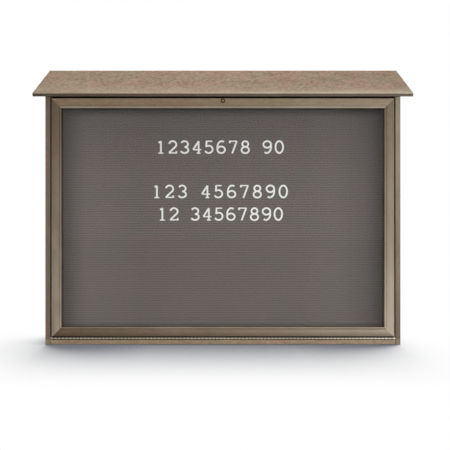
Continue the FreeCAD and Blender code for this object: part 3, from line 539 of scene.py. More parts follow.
def felt_material():
    made, tree, shader = plain_material("Grey felt", 0.95, 0.1)
    vector = object_vector(tree)
    tone = remap(tree, noise(tree, vector, 9, 2), 0.42, 0.58)
    color = mix_colors(tree, tone, linear(122, 111, 108), linear(118, 111, 106))
    lint = remap(tree, noise(tree, object_vector(tree, (0.35, 1.0, 1.0)), 700, 3), 0.3, 0.7)
    color = mix_colors(tree, multiply(tree, lint, 0.15), color, linear(140, 132, 129))
    # Painted shade in the grooves.
    groove_shade = remap(tree, open_sky(tree, GROOVE_REACH), 0.85, 0.3)
    color = mix_colors(tree, groove_shade, color, linear(*FELT_SHADE))
    # Painted light towards both ends of the felt.
    off_middle = calculate(tree, "ABSOLUTE", share_along(tree, vector, 0))
    color = mix_colors(tree, remap(tree, off_middle, *LIT_ENDS, 0.0, 0.12), color, linear(*FELT_LIGHT))
    # Painted shade near the top, under the roof.
    height = share_along(tree, vector, 2)
    color = mix_colors(tree, remap(tree, height, *SHADED_TOP, 0.0, 0.2), color, linear(*FELT_SHADE))
    tree.links.new(color, shader.inputs["Base Color"])
    shader.inputs["Sheen Weight"].default_value = 0.25
    shader.inputs["Sheen Roughness"].default_value = 0.6
    bump(tree, shader, lint, 0.3 * MM, 0.6)
    return made


felt_finish = felt_material()

# %% [markdown]
# ## Metal
#
# The hinge, brackets and screws are stainless steel with a brushed surface. Fine scratches along one
# direction come from a noise that is squeezed hard across it. They change both the roughness and the
# relief. The hinge's knuckles are painted dark at both ends, as painted shade in the gaps between
# them. The lock is brass: its collar is dark, partly weathered and partly painted shade round the
# recessed plug, and the plug's rim is painted dark as shade while its middle stays bright. Its keeper
# behind the rail is near black, partly blackened steel and partly painted shade in the gap under the
# roof.

# %% Metal materials
STAIN = (96, 84, 70)
# Painted shade on metal: the knuckles' ends and the plug's rim.
METAL_SHADE = (34, 27, 20)


def make_brushed_group():
    sockets = [
        ("Vector", VECTOR, None), ("Base", COLOR, (0.6, 0.6, 0.6, 1)), ("Roughness", FLOAT, 0.3),
    ]
    outputs = [("Color", COLOR), ("Roughness", FLOAT), ("Height", FLOAT)]
    group, start, end = shader_group("Brushed metal", sockets, outputs)
    scratch = noise(group, start.outputs["Vector"], 1800, 2)
    stain = remap(group, noise(group, start.outputs["Vector"], 60, 4), 0.45, 0.75)
    amount = multiply(group, stain, 0.35)
    color = mix_colors(group, amount, start.outputs["Base"], linear(*STAIN))
    rough = calculate(group, "ADD", multiply(group, scratch, 0.18), start.outputs["Roughness"])
    rough = calculate(group, "ADD", multiply(group, stain, 0.12), rough)
    group.links.new(color, end.inputs["Color"])
    group.links.new(rough, end.inputs["Roughness"])
    group.links.new(scratch, end.inputs["Height"])
    return group


brushed_group = make_brushed_group()


def metal_material(name, base, roughness, squeeze=(0.1, 1.0, 1.0), shade_mask=None):
    """shade_mask is a function that adds nodes and returns where the metal is painted dark as shade,
    from 0 to 1.
    """
    made, tree, shader = plain_material(name, roughness)
    shader.inputs["Metallic"].default_value = 1.0
    brushed = add_node(tree, "ShaderNodeGroup", {"node_tree": brushed_group}, {
        "Vector": object_vector(tree, squeeze), "Base": linear(*base), "Roughness": roughness,
    })
    color = brushed.outputs["Color"]
    if shade_mask:
        color = mix_colors(tree, shade_mask(tree), color, linear(*METAL_SHADE))
    tree.links.new(color, shader.inputs["Base Color"])
    tree.links.new(brushed.outputs["Roughness"], shader.inputs["Roughness"])
    bump(tree, shader, brushed.outputs["Height"], 0.01 * MM, 0.5)
    return made


pin_low, pin_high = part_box("hinge_pin")
KNUCKLES = 94
KNUCKLE_PITCH = (pin_high.x - pin_low.x) / KNUCKLES
plug_low, plug_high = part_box("lock_plug")
PLUG_MIDDLE = ((plug_low.x + plug_high.x) / 2, 0.0, (plug_low.z + plug_high.z) / 2)


def knuckle_end_shade(tree):
    """Painted shade at both ends of each knuckle, by the gaps between knuckles; the middle stays
    bright.
    """
    place = share_along(tree, object_vector(tree), 0)
    count = calculate(tree, "DIVIDE", calculate(tree, "SUBTRACT", place, pin_low.x), KNUCKLE_PITCH)
    share = calculate(tree, "FRACT", count)
    away = calculate(tree, "ABSOLUTE", calculate(tree, "SUBTRACT", share, 0.5))
    return remap(tree, away, 0.28, 0.44, 0.0, 0.55)


def plug_rim_shade(tree):
    """Painted shade on the plug's rim, round its recess; the middle stays bright."""
    inputs = {0: object_vector(tree, (1, 0, 1)), 1: PLUG_MIDDLE}
    away = add_node(tree, "ShaderNodeVectorMath", {"operation": "DISTANCE"}, inputs).outputs["Value"]
    return remap(tree, away, 2.0 * MM, 3.6 * MM, 0.0, 0.8)


steel_finish = metal_material("Stainless steel", (172, 170, 166), 0.3)
hinge_finish = metal_material("Hinge steel", (184, 175, 158), 0.36, shade_mask=knuckle_end_shade)
lock_finish = metal_material("Worn brass", (170, 146, 104), 0.34, ALL_WAYS)
# The plug's rim is painted dark as shade.
plug_finish = metal_material("Key-worn brass", (178, 152, 106), 0.34, ALL_WAYS, plug_rim_shade)
# The collar's dark colour is weathered brass and painted shade round the recessed plug.
collar_finish = metal_material("Dark brass", (74, 54, 28), 0.5, ALL_WAYS)
# Near black for the keeper and its screws: blackened steel and painted shade in the gap under the
# roof.
blackened_and_shaded_finish = metal_material("Blackened steel", (30, 27, 24), 0.6, ALL_WAYS)

# %% [markdown]
# ## Rubber, tape and digits
#
# Rubber is nearly black with a soft bloom. The digits are moulded in white plastic, and a faint noise
# between two close whites keeps it from looking like paper.

# %% Rubber and digit materials
def speckled_material(name, base, second, roughness, scale, relief, specular=0.4):
    made, tree, shader = plain_material(name, roughness, specular)
    vector = object_vector(tree)
    pattern = noise(tree, vector, scale, 3)
    color = mix_colors(tree, remap(tree, pattern, 0.35, 0.65), linear(*base), linear(*second))
    tree.links.new(color, shader.inputs["Base Color"])
    bump(tree, shader, pattern, relief, 0.6)
    return made


seal_finish = speckled_material(
    "Black rubber", (20, 19, 18), (30, 28, 27), 0.85, 260, 0.1 * MM, 0.1
)
tape_finish = speckled_material(
    "Glazing tape", (30, 29, 28), (40, 38, 36), 0.8, 400, 0.1 * MM
)
digit_finish = speckled_material(
    "White digits", (253, 252, 250), (244, 243, 240), 0.45, 180, 0.05 * MM
)

# %% [markdown]
# ## The window pane
#
# Clear plastic bends light a little and mirrors a few percent of what stands in front of it.
# A true glass shader also stops the lamps' direct light, because the renderer doesn't follow
# it through a bent path, and the letter board would lie in the dark. So rays that only ask
# for light pass straight through: the shader mixes glass with full transparency for them.

# %% Window pane material
def pane_material():
    made, tree, shader = plain_material("Clear pane", 0.02, 0.3)
    shader.inputs["Base Color"].default_value = (0.97, 0.985, 0.98, 1)
    shader.inputs["Transmission Weight"].default_value = 1.0
    shader.inputs["IOR"].default_value = 1.22
    rays = add_node(tree, "ShaderNodeLightPath")
    passing = calculate(tree, "MAXIMUM", rays.outputs["Is Shadow Ray"], rays.outputs["Is Diffuse Ray"])
    clear = add_node(tree, "ShaderNodeBsdfTransparent")
    mix_shaders(tree, passing, shader.outputs[0], clear.outputs[0])
    return made


pane_finish = pane_material()

# %% [markdown]
# ## Dress the construction parts
#
# Each part of the frame names a material slot in the record, and the slot names the finish.
# Some parts have a finish of their own: the door's pieces and the upright boards, because the streaks
# follow the board and the left and right pieces carry different painted light and shade, the lock's
# plug and keeper, the header rail, and the strips that the door closes on. The strips and the header
# rail are painted near black, as painted shade, so that the joint round the door and the gap under the
# roof read as dark lines. A part's material slots are cleared first, so that nothing of the plain
# import is left.

# %% Dress the parts
SLOT_FINISHES = {
    "case_board": level_board,
    "roof_board": roof_finish,
    "door_frame": bottom_rail,
    "back_panel": panel_finish,
    "retainer": strip_finish,
    "letter_felt": felt_finish,
    "letter_ledge": strip_finish,
    "window_pane": pane_finish,
    "glazing_tape": tape_finish,
    "foam_seal": seal_finish,
    "hinge": hinge_finish,
    "lock": lock_finish,
    "steel": steel_finish,
}
OWN_FINISHES = {
    "stile_left": left_stile,
    "stile_right": right_stile,
    "rail_top": top_rail,
    "side_panel_left": left_side,
    "side_panel_right": right_side,
    "header_rail": shaded_inner_finish,
    "sill_strip": shaded_inner_finish,
    "door_stop_left": shaded_inner_finish,
    "door_stop_right": shaded_inner_finish,
    "lock_plug": plug_finish,
    "lock_keeper": blackened_and_shaded_finish,
}


def dress(item, finish):
    item.data.materials.clear()
    item.data.materials.append(finish)


for row in record["subparts"]:
    finish = OWN_FINISHES.get(row["node"], SLOT_FINISHES[row["material_slot"]])
    dress(nodes[row["node"]], finish)

# %% [markdown]
# ## Modelling helpers
#
# The added pieces are modelled with the same operators that one uses by hand. An operator
# acts on whatever is selected, so each step starts by selecting exactly what it is meant for:
# everything is deselected, and faces are then chosen by a test on their place or normal. Face
# mode is set first, because in vertex mode a face between two chosen faces, whose corners are
# then all selected, would be taken too.

# %% Modelling helpers
def only(item):
    """Make this object the selected and active one."""
    bpy.ops.object.select_all(action="DESELECT")
    item.select_set(True)
    bpy.context.view_layer.objects.active = item
    return item


def select_faces(item, test):
    """In edit mode, select the faces whose centre and normal pass the test."""
    bpy.ops.mesh.select_mode(type="FACE")
    bpy.ops.mesh.select_all(action="DESELECT")
    bpy.ops.object.mode_set(mode="OBJECT")
    count = 0
    for face in item.data.polygons:
        face.select = bool(test(face.center, face.normal))
        count += face.select
    bpy.ops.object.mode_set(mode="EDIT")
    return count


def settle(item):
    """Put the object's place into its mesh."""
    only(item)
    bpy.ops.object.transform_apply(location=True, rotation=True, scale=True)
    return item


def add_modifier(item, kind, settings):
    modifier = item.modifiers.new(kind.title(), kind)
    for key, setting in settings.items():
        setattr(modifier, key, setting)
    only(item)
    bpy.ops.object.modifier_apply(modifier=modifier.name)


def join_all(items, name):
    bpy.ops.object.select_all(action="DESELECT")
    for item in items:
        item.select_set(True)
    bpy.context.view_layer.objects.active = items[0]
    if len(items) > 1:
        bpy.ops.object.join()
    joined = bpy.context.object
    joined.name = name
    joined.data.name = name
    return joined


def twin_of(item):
    """A copy with a mesh of its own."""
    copy = item.copy()
    copy.data = item.data.copy()
    bpy.context.scene.collection.objects.link(copy)
    return copy


def smooth(item, degrees=35):
    only(item)
    bpy.ops.object.shade_smooth_by_angle(angle=math.radians(degrees))


def hand_over(item, finish, slot, body, *replaced):
    """Dress a finished piece, let it ride on its body and hide the parts it stands for."""
    dress(item, finish)
    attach(item, body)
    if replaced:
        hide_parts(*replaced)
    print(item.name, len(item.data.polygons), "faces")


# %% [markdown]
# ## The continuous hinge
#
# A leaf of this hinge is one strip of steel. Tabs along its edge are rolled round the pin, and
# the tabs of the two leaves take turns. We could build rings and set them beside a plate, but
# rolling them as the factory does gives one closed skin: start from a plate that is divided
# into cells, pull every second front cell out to the pin's axis, and spin those cells round
# the pin. The roll stops short of a full turn, which leaves the small gap that a real knuckle
# has where its edge comes back to the leaf.

# %% Hinge leaves
PIN_AXIS = (pin_low + pin_high) / 2
KNUCKLE_GAP = 0.8 * MM
KNUCKLE_RELIEF = 0.5 * MM
LEAF_THICKNESS = 1.5 * MM
ROLL_TURN = math.radians(302)
ROLL_STEPS = 16


def make_hinge_leaf(name, node, side, first):
    """side is -1 for the leaf below the pin and 1 for the one above it."""
    low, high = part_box(node)
    length = pin_high.x - pin_low.x
    cell = KNUCKLE_PITCH
    radius = (high.z - low.z) / 2
    front = PIN_AXIS.y + radius + KNUCKLE_RELIEF
    outer = low.z if side < 0 else high.z
    bpy.ops.mesh.primitive_grid_add(x_subdivisions=KNUCKLES, y_subdivisions=1, size=1)
    leaf = bpy.context.object
    leaf.scale = (length, high.y - front, 1)
    leaf.location = (PIN_AXIS.x, (high.y + front) / 2, outer)
    settle(leaf)
    for vertex in leaf.data.vertices:
        column = round((vertex.co.x - pin_low.x) / cell)
        if 0 < column < KNUCKLES:
            vertex.co.x += KNUCKLE_GAP / 2 * (1 if column % 2 == first else -1)
    bpy.ops.object.mode_set(mode="EDIT")
    bpy.ops.mesh.select_all(action="SELECT")
    move = {"value": (0, 0, -side * LEAF_THICKNESS)}
    bpy.ops.mesh.extrude_region_move(TRANSFORM_OT_translate=move)
    bpy.ops.mesh.select_all(action="SELECT")
    bpy.ops.mesh.normals_make_consistent(inside=False)

    def is_tab(center, normal):
        index = int((center.x - pin_low.x) / cell)
        return normal.y < -0.9 and index % 2 == first

    count = select_faces(leaf, is_tab)
    bpy.ops.mesh.extrude_faces_move(TRANSFORM_OT_shrink_fatten={"value": 0})
    bpy.ops.transform.translate(value=(0, PIN_AXIS.y - front, 0))
    bpy.ops.mesh.spin(
        steps=ROLL_STEPS, angle=-side * ROLL_TURN, center=PIN_AXIS, axis=(1, 0, 0)
    )
    bpy.ops.mesh.select_all(action="SELECT")
    bpy.ops.mesh.remove_doubles(threshold=0.001 * MM)
    bpy.ops.mesh.normals_make_consistent(inside=False)
    bpy.ops.object.mode_set(mode="OBJECT")
    leaf.name = name
    smooth(leaf)
    print(name, "rolled", count, "knuckles")
    return leaf


lower_leaf = make_hinge_leaf("hinge_leaf_lower", "hinge_leaf_case", -1, 0)
hand_over(lower_leaf, hinge_finish, "hinge", "case", "hinge_leaf_case")
upper_leaf = make_hinge_leaf("hinge_leaf_upper", "hinge_leaf_door", 1, 1)
hand_over(upper_leaf, hinge_finish, "hinge", "door", "hinge_leaf_door")

# %% [markdown]
# ## Screw heads
#
# The construction model has plain tapered screws. A countersunk head is a short cone with a
# cross recess, so one head is modelled, with its recess cut by a crossed pair of wedges, and
# then copied to each screw. The places are read from the frame: a copy of the part's mesh is
# split into its separate solids, and each solid's long axis and wide end say where the head
# is and which way it looks.

# %% Find the screws
def solids_in(node):
    """The separate solids of a part, each as a list of its corner points."""
    copy = twin_of(nodes[node])
    copy.parent = None
    only(copy)
    bpy.ops.object.mode_set(mode="EDIT")
    bpy.ops.mesh.select_all(action="SELECT")
    bpy.ops.mesh.remove_doubles(threshold=0.01 * MM)
    bpy.ops.mesh.separate(type="LOOSE")
    bpy.ops.object.mode_set(mode="OBJECT")
    parts = list(bpy.context.selected_objects)
    found = [[vertex.co.copy() for vertex in part.data.vertices] for part in parts]
    bpy.ops.object.delete()
    return found


def head_of(points):
    """Middle of a screw's head and the direction that it looks in."""
    low = Vector([min(point[axis] for point in points) for axis in range(3)])
    high = Vector([max(point[axis] for point in points) for axis in range(3)])
    size = high - low
    axis = max(range(3), key=lambda index: size[index])
    middle = (low + high) / 2

    def spread(end):
        near = [point for point in points if abs(point[axis] - end) < 0.2 * MM]
        return max(
            (point - middle).length_squared - (point[axis] - middle[axis]) ** 2 for point in near
        )

    head_high = spread(high[axis]) > spread(low[axis])
    middle[axis] = high[axis] if head_high else low[axis]
    outward = Vector((0, 0, 0))
    outward[axis] = 1 if head_high else -1
    return middle, outward


# %% Model one screw head
SCREW_FACETS = 24
RECESS_SHARE = 0.56
RECESS_WIDTH_SHARE = 0.13
RECESS_DEPTH_SHARE = 0.22
RECESS_TAPER = 0.35


def make_screw(diameter, shank, depth):
    """A countersunk screw's head and neck, with its face at the origin, looking up."""
    cone = (diameter - shank) / 2
    bpy.ops.mesh.primitive_cone_add(
        vertices=SCREW_FACETS, radius1=shank / 2, radius2=diameter / 2, depth=cone,
        location=(0, 0, -cone / 2),
    )
    screw = bpy.context.object
    bpy.ops.object.mode_set(mode="EDIT")
    select_faces(screw, lambda center, normal: normal.z < -0.9)
    bpy.ops.mesh.extrude_region_move(TRANSFORM_OT_translate={"value": (0, 0, cone - depth)})
    select_faces(screw, lambda center, normal: normal.z > 0.9)
    bpy.ops.mesh.bevel(offset=diameter * 0.03, segments=2, affect="EDGES")
    bpy.ops.object.mode_set(mode="OBJECT")
    settle(screw)
    for turn in (0, 90):
        bpy.ops.mesh.primitive_cube_add(size=1, rotation=(0, 0, math.radians(turn)))
        cutter = bpy.context.object
        cutter.scale = (RECESS_SHARE, RECESS_WIDTH_SHARE, RECESS_DEPTH_SHARE * 2)
        cutter.scale *= diameter
        settle(cutter)
        bpy.ops.object.mode_set(mode="EDIT")
        select_faces(cutter, lambda center, normal: normal.z < -0.9)
        taper = (RECESS_TAPER, RECESS_TAPER, 1)
        bpy.ops.transform.resize(value=taper, center_override=(0, 0, 0))
        bpy.ops.object.mode_set(mode="OBJECT")
        settings = {"operation": "DIFFERENCE", "object": cutter, "solver": "EXACT"}
        add_modifier(screw, "BOOLEAN", settings)
        bpy.data.objects.remove(cutter)
    smooth(screw)
    return screw


# %% [markdown]
# Each kind of screw has its own size: the diameter of its head and of its shank, in
# millimetres. Every screw of a group is turned by another angle, as no two are ever driven
# home alike.

# %% Copy the screws to their places
SCREW_GROUPS = {
    "side_screws": (10.0, 5.0, "case"),
    "back_screws": (10.0, 5.0, "case"),
    "keeper_screws": (7.2, 3.6, "case"),
    "hinge_screws_case": (7.2, 3.6, "case"),
    "hinge_screws_door": (7.2, 3.6, "door"),
    "retainer_screws": (7.2, 3.6, "door"),
    "bracket_screws": (7.2, 3.6, "door"),
}
SCREW_DEPTH = 6 * MM
TWIST_STEP = 37


def place_screws(node, diameter, shank, body):
    master = make_screw(diameter * MM, shank * MM, SCREW_DEPTH)
    copies = []
    for index, points in enumerate(solids_in(node)):
        middle, outward = head_of(points)
        copy = twin_of(master)
        turn = Vector((0, 0, 1)).rotation_difference(outward)
        twist = Quaternion((0, 0, 1), math.radians(TWIST_STEP * index % 90))
        copy.rotation_mode = "QUATERNION"
        copy.rotation_quaternion = turn @ twist
        copy.location = middle
        settle(copy)
        copies.append(copy)
    bpy.data.objects.remove(master)
    group = join_all(copies, node.replace("screws", "screw_heads"))
    # The keeper's screws take the near-black finish, which is painted shade in the gap under the roof.
    finish = blackened_and_shaded_finish if node == "keeper_screws" else steel_finish
    hand_over(group, finish, "steel", body, node)


for node, (diameter, shank, body) in SCREW_GROUPS.items():
    place_screws(node, diameter, shank, body)

# %% [markdown]
# ## The lock's face
#
# A cam lock shows a turned collar with a rounded rim, and inside it the round plug with its
# key slot. Both are turned parts. The collar is modelled as a lathe would cut it: a half
# section on the XZ plane, spun once round the lock's axis.

# %% Lock
body_low, body_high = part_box("lock_body")
LOCK_AXIS = Vector(((body_low.x + body_high.x) / 2, body_low.y, (body_low.z + body_high.z) / 2))
TURN_STEPS = 48


def arc(middle_x, middle_y, reach_x, reach_y, start, stop, steps):
    """Points along an ellipse, from one angle to the other, in degrees."""
    points = []
    for step in range(steps + 1):
        angle = math.radians(start + (stop - start) * step / steps)
        points.append((middle_x + reach_x * math.cos(angle), middle_y + reach_y * math.sin(angle)))
    return points


def turned(name, profile):
    """A solid of revolution about the lock's axis, from points of (radius, depth)."""
    bpy.ops.mesh.primitive_plane_add(size=1)
    item = bpy.context.object
    item.name = name
    bpy.ops.object.mode_set(mode="EDIT")
    bpy.ops.mesh.delete(type="VERT")
    bpy.ops.object.mode_set(mode="OBJECT")
    item.data.from_pydata(
        [(radius, depth, 0) for radius, depth in profile],
        [(index, (index + 1) % len(profile)) for index in range(len(profile))],
        [],
    )
    item.location = LOCK_AXIS
    settle(item)
    bpy.ops.object.mode_set(mode="EDIT")
    bpy.ops.mesh.select_all(action="SELECT")
    bpy.ops.mesh.spin(steps=TURN_STEPS, angle=math.tau, center=LOCK_AXIS, axis=(0, 1, 0))
    bpy.ops.mesh.select_all(action="SELECT")
    bpy.ops.mesh.remove_doubles(threshold=0.005 * MM)
    bpy.ops.mesh.normals_make_consistent(inside=False)
    bpy.ops.object.mode_set(mode="OBJECT")
    return item


COLLAR = 1.5 * MM
COLLAR_RADIUS = (body_high.x - body_low.x) / 2
PLUG_RADIUS = (plug_high.x - plug_low.x) / 2
BARREL_RADIUS = 6 * MM
BORE_RADIUS = PLUG_RADIUS + 0.05 * MM
LIP = 0.35 * MM
RIM = 1.2 * MM
barrel_end = body_high.y - LOCK_AXIS.y

collar_profile = [(BORE_RADIUS, LIP)]
collar_profile += arc(BORE_RADIUS + 2 * LIP, LIP, LIP, LIP, 180, 270, 4)
collar_profile += arc(COLLAR_RADIUS - RIM, RIM, RIM, RIM, 270, 360, 6)
collar_profile += [(COLLAR_RADIUS, COLLAR), (BARREL_RADIUS, COLLAR)]
collar_profile += [(BARREL_RADIUS, barrel_end), (BORE_RADIUS, barrel_end)]
collar = turned("lock_collar", collar_profile)
smooth(collar, 40)
hand_over(collar, collar_finish, "lock", "door", "lock_body")

# %% [markdown]
# ## The digits
#
# The letter board carries three rows of plain digits. Ready-made lettering would do, but its
# strokes are heavier and have no feet, so each digit is drawn as a pen would: a few strokes,
# straight or along an ellipse, with short slab feet. Every stroke becomes a thin upright
# ribbon, which Solidify thickens to the pen's width. Where strokes cross, each lies a hair
# above the one before: two faces in exactly the same plane would flicker between dark and
# light.

# %% Strokes of the digits
PEN = 0.135
SERIF = 0.095
GLYPH_WIDTH = 0.66


def bow(middle_x, middle_y, reach_x, reach_y, start, stop):
    """A bent stroke, with a point at about every 12 degrees."""
    steps = max(4, round(abs(stop - start) / 12))
    return arc(middle_x, middle_y, reach_x, reach_y, start, stop, steps)


def foot(x, y, half=0.12):
    """A level slab foot."""
    return [(x - half, y), (x + half, y)]


SIX = [
    bow(0.36, 0.50, 0.29, 0.445, 58, 180) + [(0.07, 0.33)],
    bow(0.33, 0.30, 0.26, 0.245, -180, 180),
]
DIGITS = {
    "0": [bow(0.33, 0.5, 0.26, 0.445, 0, 360)],
    "1": [[(0.34, 0.93), (0.34, 0.05)], [(0.36, 0.92), (0.18, 0.83)], foot(0.34, 0.045, 0.17)],
    "2": [
        bow(0.32, 0.69, 0.25, 0.255, 168, -38) + [(0.07, 0.07)],
        [(0.05, 0.06), (0.58, 0.06)],
        [(0.575, 0.02), (0.575, 0.2)],
    ],
    "3": [
        bow(0.30, 0.72, 0.235, 0.225, 155, -90),
        bow(0.30, 0.28, 0.265, 0.225, 90, -158),
    ],
    "4": [
        [(0.44, 0.94), (0.07, 0.32)],
        [(0.05, 0.305), (0.62, 0.305)],
        [(0.44, 0.945), (0.44, 0.05)],
        foot(0.44, 0.045, 0.13),
    ],
    "5": [
        [(0.13, 0.94), (0.54, 0.94)],
        [(0.16, 0.97), (0.13, 0.50)],
        bow(0.30, 0.33, 0.27, 0.275, 135, -155),
    ],
    "6": SIX,
    "7": [[(0.06, 0.94), (0.59, 0.94)], [(0.085, 0.985), (0.085, 0.8)], [(0.565, 0.94), (0.25, 0.02)]],
    "8": [bow(0.32, 0.73, 0.205, 0.21, 0, 360), bow(0.32, 0.28, 0.255, 0.235, 0, 360)],
    "9": [[(GLYPH_WIDTH - x, 1 - y) for x, y in stroke] for stroke in SIX],
}
DIGIT_WIDTH = 0.72

# %% [markdown]
# Each row is placed by the columns and rows of the photograph that it spans. The camera turns
# those into points on the face of the letter board.

# %% Rows of digits
LETTER_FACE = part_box("letter_board")[0].y
DIGIT_DEPTH = 2.4 * MM
DIGIT_SEAT = 0.3 * MM
STROKE_STEP = 0.05 * MM
SPACE = 0.8
ROWS = {
    "digits_row_upper": ("12345678 90", (156, 284), (140.5, 153.8)),
    "digits_row_middle": ("123 4567890", (152, 288), (184.8, 198.2)),
    "digits_row_lower": ("12 34567890", (157.5, 283), (207.4, 220.7)),
}


def stroke_ribbon(points, height, width, left, bottom, lift):
    """An upright ribbon along one stroke, thickened to the pen's width and lifted a little."""
    curve = bpy.data.curves.new("stroke", "CURVE")
    curve.dimensions = "2D"
    curve.extrude = DIGIT_DEPTH / 2
    closed = (Vector(points[0]) - Vector(points[-1])).length < 1e-6
    line = curve.splines.new("POLY")
    used = points[:-1] if closed else points
    line.points.add(len(used) - 1)
    for point, (x, y) in zip(line.points, used):
        point.co = (x * width, y * height, 0, 1)
    line.use_cyclic_u = closed
    item = bpy.data.objects.new("stroke", curve)
    bpy.context.scene.collection.objects.link(item)
    only(item)
    bpy.ops.object.convert(target="MESH")
    item = bpy.context.object
    level = len(points) == 2 and abs(points[0][1] - points[1][1]) < 0.001
    pen = (SERIF if level else PEN) * height
    add_modifier(item, "SOLIDIFY", {"thickness": pen, "offset": 0.0, "use_even_offset": True})
    item.rotation_euler = (math.radians(90), 0, 0)
    item.location = (left, LETTER_FACE + DIGIT_SEAT - DIGIT_DEPTH / 2 - lift, bottom)
    return settle(item)


def make_row(name, text, columns, rows):
    left_top = at_pixel(columns[0], rows[0], LETTER_FACE)
    right_bottom = at_pixel(columns[1], rows[1], LETTER_FACE)
    height = left_top.z - right_bottom.z
    width = height * DIGIT_WIDTH / GLYPH_WIDTH
    steps = sum(SPACE if sign == " " else 1 for sign in text) - 1
    step = (right_bottom.x - left_top.x - width * GLYPH_WIDTH) / steps
    ribbons = []
    left = left_top.x
    for sign in text:
        if sign == " ":
            left += step * SPACE
            continue
        for index, points in enumerate(DIGITS[sign]):
            lift = index * STROKE_STEP
            ribbons.append(stroke_ribbon(points, height, width, left, right_bottom.z, lift))
        left += step
    row = join_all(ribbons, name)
    smooth(row, 30)
    hand_over(row, digit_finish, "digits", "case")


for name, (text, columns, rows) in ROWS.items():
    make_row(name, text, columns, rows)

# %% [markdown]
# ## Floor, backdrop and light
#
# The photograph has a pure white ground with a soft grey shadow in front of the case. A floor
# that is lit until it turns white would take so many lamps that the boards would burn out.
# Instead the floor answers the camera with white, darkened where the case blocks the light,
# and answers every other ray as a dull cloth, so hardly any light comes back up from it. That
# keeps the faces that look down dark, as they are in the photograph. The Ambient Occlusion
# node measures what is blocked, and its direction is tilted to the back and the right, so the
# shadow falls to the front and the left. It is a little fuller under the case's two ends, and
# it fades fast past the right one.

# %% Floor
FLOOR_SIDE = 30.0
SHADOW_REACH = 0.55
SHADOW_LEAN = (0.6, 1.3, 1.0)
SHADOW_DEPTH = 1.85
SHADOW_LIMIT = 0.83
SHADOW_TINT = linear(10, 30, 60)
FLOOR_BOUNCE = 0.2

bpy.ops.mesh.primitive_plane_add(size=FLOOR_SIDE, location=(0, 0, cad_bounds[0][2] - 0.2 * MM))
floor = bpy.context.object
floor.name = "floor"


def seen_by_eye(tree):
    """1 for rays that show a surface to the camera, straight or through glass."""
    rays = add_node(tree, "ShaderNodeLightPath").outputs
    return calculate(tree, "MAXIMUM", rays["Is Camera Ray"], rays["Is Transmission Ray"])


def floor_material():
    made = bpy.data.materials.new("White floor")
    made.use_nodes = True
    tree = made.node_tree
    tree.nodes.remove(tree.nodes["Principled BSDF"])
    lean = add_node(tree, "ShaderNodeCombineXYZ", None, dict(enumerate(SHADOW_LEAN)))
    lean = add_node(tree, "ShaderNodeVectorMath", {"operation": "NORMALIZE"}, {0: lean.outputs[0]})
    inputs = {"Distance": SHADOW_REACH, "Normal": lean.outputs[0]}
    sky = add_node(tree, "ShaderNodeAmbientOcclusion", {"samples": 32}, inputs).outputs["AO"]
    blocked = calculate(tree, "SUBTRACT", 1.0, sky)
    shade = multiply(tree, calculate(tree, "POWER", blocked, 2.0), SHADOW_DEPTH)
    position = add_node(tree, "ShaderNodeNewGeometry").outputs["Position"]
    across = share_along(tree, position, 0)
    off_middle = calculate(tree, "ABSOLUTE", across)
    shade = multiply(tree, shade, remap(tree, off_middle, 0.25, 0.55, 0.97, 1.3))
    shade = multiply(tree, shade, remap(tree, off_middle, 0.6, 0.68, 1.0, 0.76))
    shade = multiply(tree, shade, remap(tree, across, 0.62, 0.76, 1.0, 0.5))
    shade = calculate(tree, "MINIMUM", shade, SHADOW_LIMIT)
    color = mix_colors(tree, shade, (1, 1, 1, 1), SHADOW_TINT)
    seen = add_node(tree, "ShaderNodeEmission", None, {"Color": color})
    cloth = (FLOOR_BOUNCE, FLOOR_BOUNCE, FLOOR_BOUNCE, 1)
    bounce = add_node(tree, "ShaderNodeBsdfDiffuse", None, {"Color": cloth})
    mix_shaders(tree, seen_by_eye(tree), bounce.outputs[0], seen.outputs[0])
    return made


dress(floor, floor_material())

# %% [markdown]
# A studio's white room is brighter above than at the floor, so the world's light is mixed
# from two strengths by the height of the direction that it comes from. The camera and the
# mirrors see plain white instead.

# %% World
SKY_LOW = 0.02
SKY_HIGH = 0.46


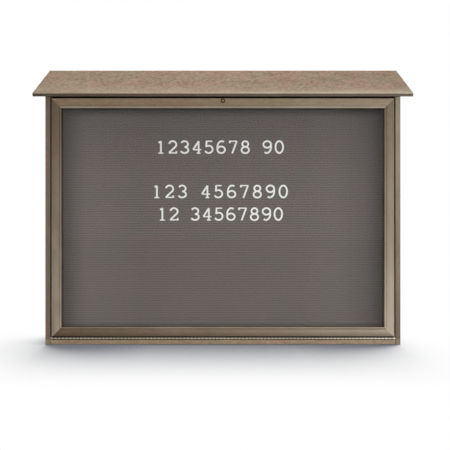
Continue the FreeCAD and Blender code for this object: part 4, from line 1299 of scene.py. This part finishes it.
def make_world():
    world = bpy.data.worlds.new("Studio")
    bpy.context.scene.world = world
    world.use_nodes = True
    tree = world.node_tree
    direction = add_node(tree, "ShaderNodeTexCoord").outputs["Generated"]
    height = share_along(tree, direction, 2)
    light = tree.nodes["Background"]
    light.inputs["Color"].default_value = (1, 0.99, 0.97, 1)
    strength = remap(tree, height, -0.3, 1.0, SKY_LOW, SKY_HIGH)
    tree.links.new(strength, light.inputs["Strength"])
    white = add_node(tree, "ShaderNodeBackground", None, {"Color": (1, 1, 1, 1), "Strength": 1.0})
    mirrored = add_node(tree, "ShaderNodeLightPath").outputs["Is Glossy Ray"]
    plain = calculate(tree, "MAXIMUM", seen_by_eye(tree), mirrored)
    mix_shaders(tree, plain, light.outputs[0], white.outputs[0], "World Output")


make_world()

# %% [markdown]
# A softbox overhead lights the roof and leaves its front edge and all undersides dark. One low
# on the right makes the right side of the door brighter than its left, and a wide one in front
# fills the letter board evenly. Those two would show in the pane as bright frames, so mirror
# rays and the rays that go through glass don't see them. The hinge and the lock need something
# bright to mirror, which is what a reflector does: it shows in mirrors and adds no other
# light. From the left it would stand in the pane as a white square, so the pane alone is
# unlinked from it. A last softbox behind the case shows its back in the side views.

# %% Lamps
SOFTBOXES = {
    "top_softbox": ((0.0, -0.5, 2.9), (0, 0, 0.9), (2.0, 1.0), 27),
    "right_softbox": ((1.7, -1.3, 0.25), (0.4, -0.1, 0.55), (0.9, 0.6), 9),
    "front_softbox": ((0.0, -3.2, 0.6), (0, 0, 0.5), (3.4, 0.9), 60),
    "right_reflector": ((1.75, -2.4, 0.3), (0.5, -0.1, 0.3), (0.8, 0.9), 40),
    "back_softbox": ((0.5, 3.0, 1.4), (0, 0, 0.4), (2.6, 1.2), 55),
}
UNSEEN_SOFTBOXES = ["right_softbox", "front_softbox"]
REFLECTOR = "right_reflector"


def add_softbox(name, place, target, size, power):
    bpy.ops.object.light_add(type="AREA", location=place)
    lamp = bpy.context.object
    lamp.name = name
    lamp.data.shape = "RECTANGLE"
    lamp.data.size, lamp.data.size_y = size
    lamp.data.energy = power
    direction = Vector(target) - Vector(place)
    lamp.rotation_euler = direction.to_track_quat("-Z", "Y").to_euler()
    return lamp


for name, settings in SOFTBOXES.items():
    lamp = add_softbox(name, *settings)
    lamp.visible_glossy = name not in UNSEEN_SOFTBOXES
    lamp.visible_transmission = name not in UNSEEN_SOFTBOXES
    lamp.visible_diffuse = name != REFLECTOR
unlinked = bpy.data.collections.new("Unlinked from the reflector")
unlinked.objects.link(nodes["window_pane"])
unlinked.collection_objects[0].light_linking.link_state = "EXCLUDE"
bpy.data.objects[REFLECTOR].light_linking.receiver_collection = unlinked
print("softboxes:", len(SOFTBOXES))

bpy.context.scene.view_settings.view_transform = "Standard"
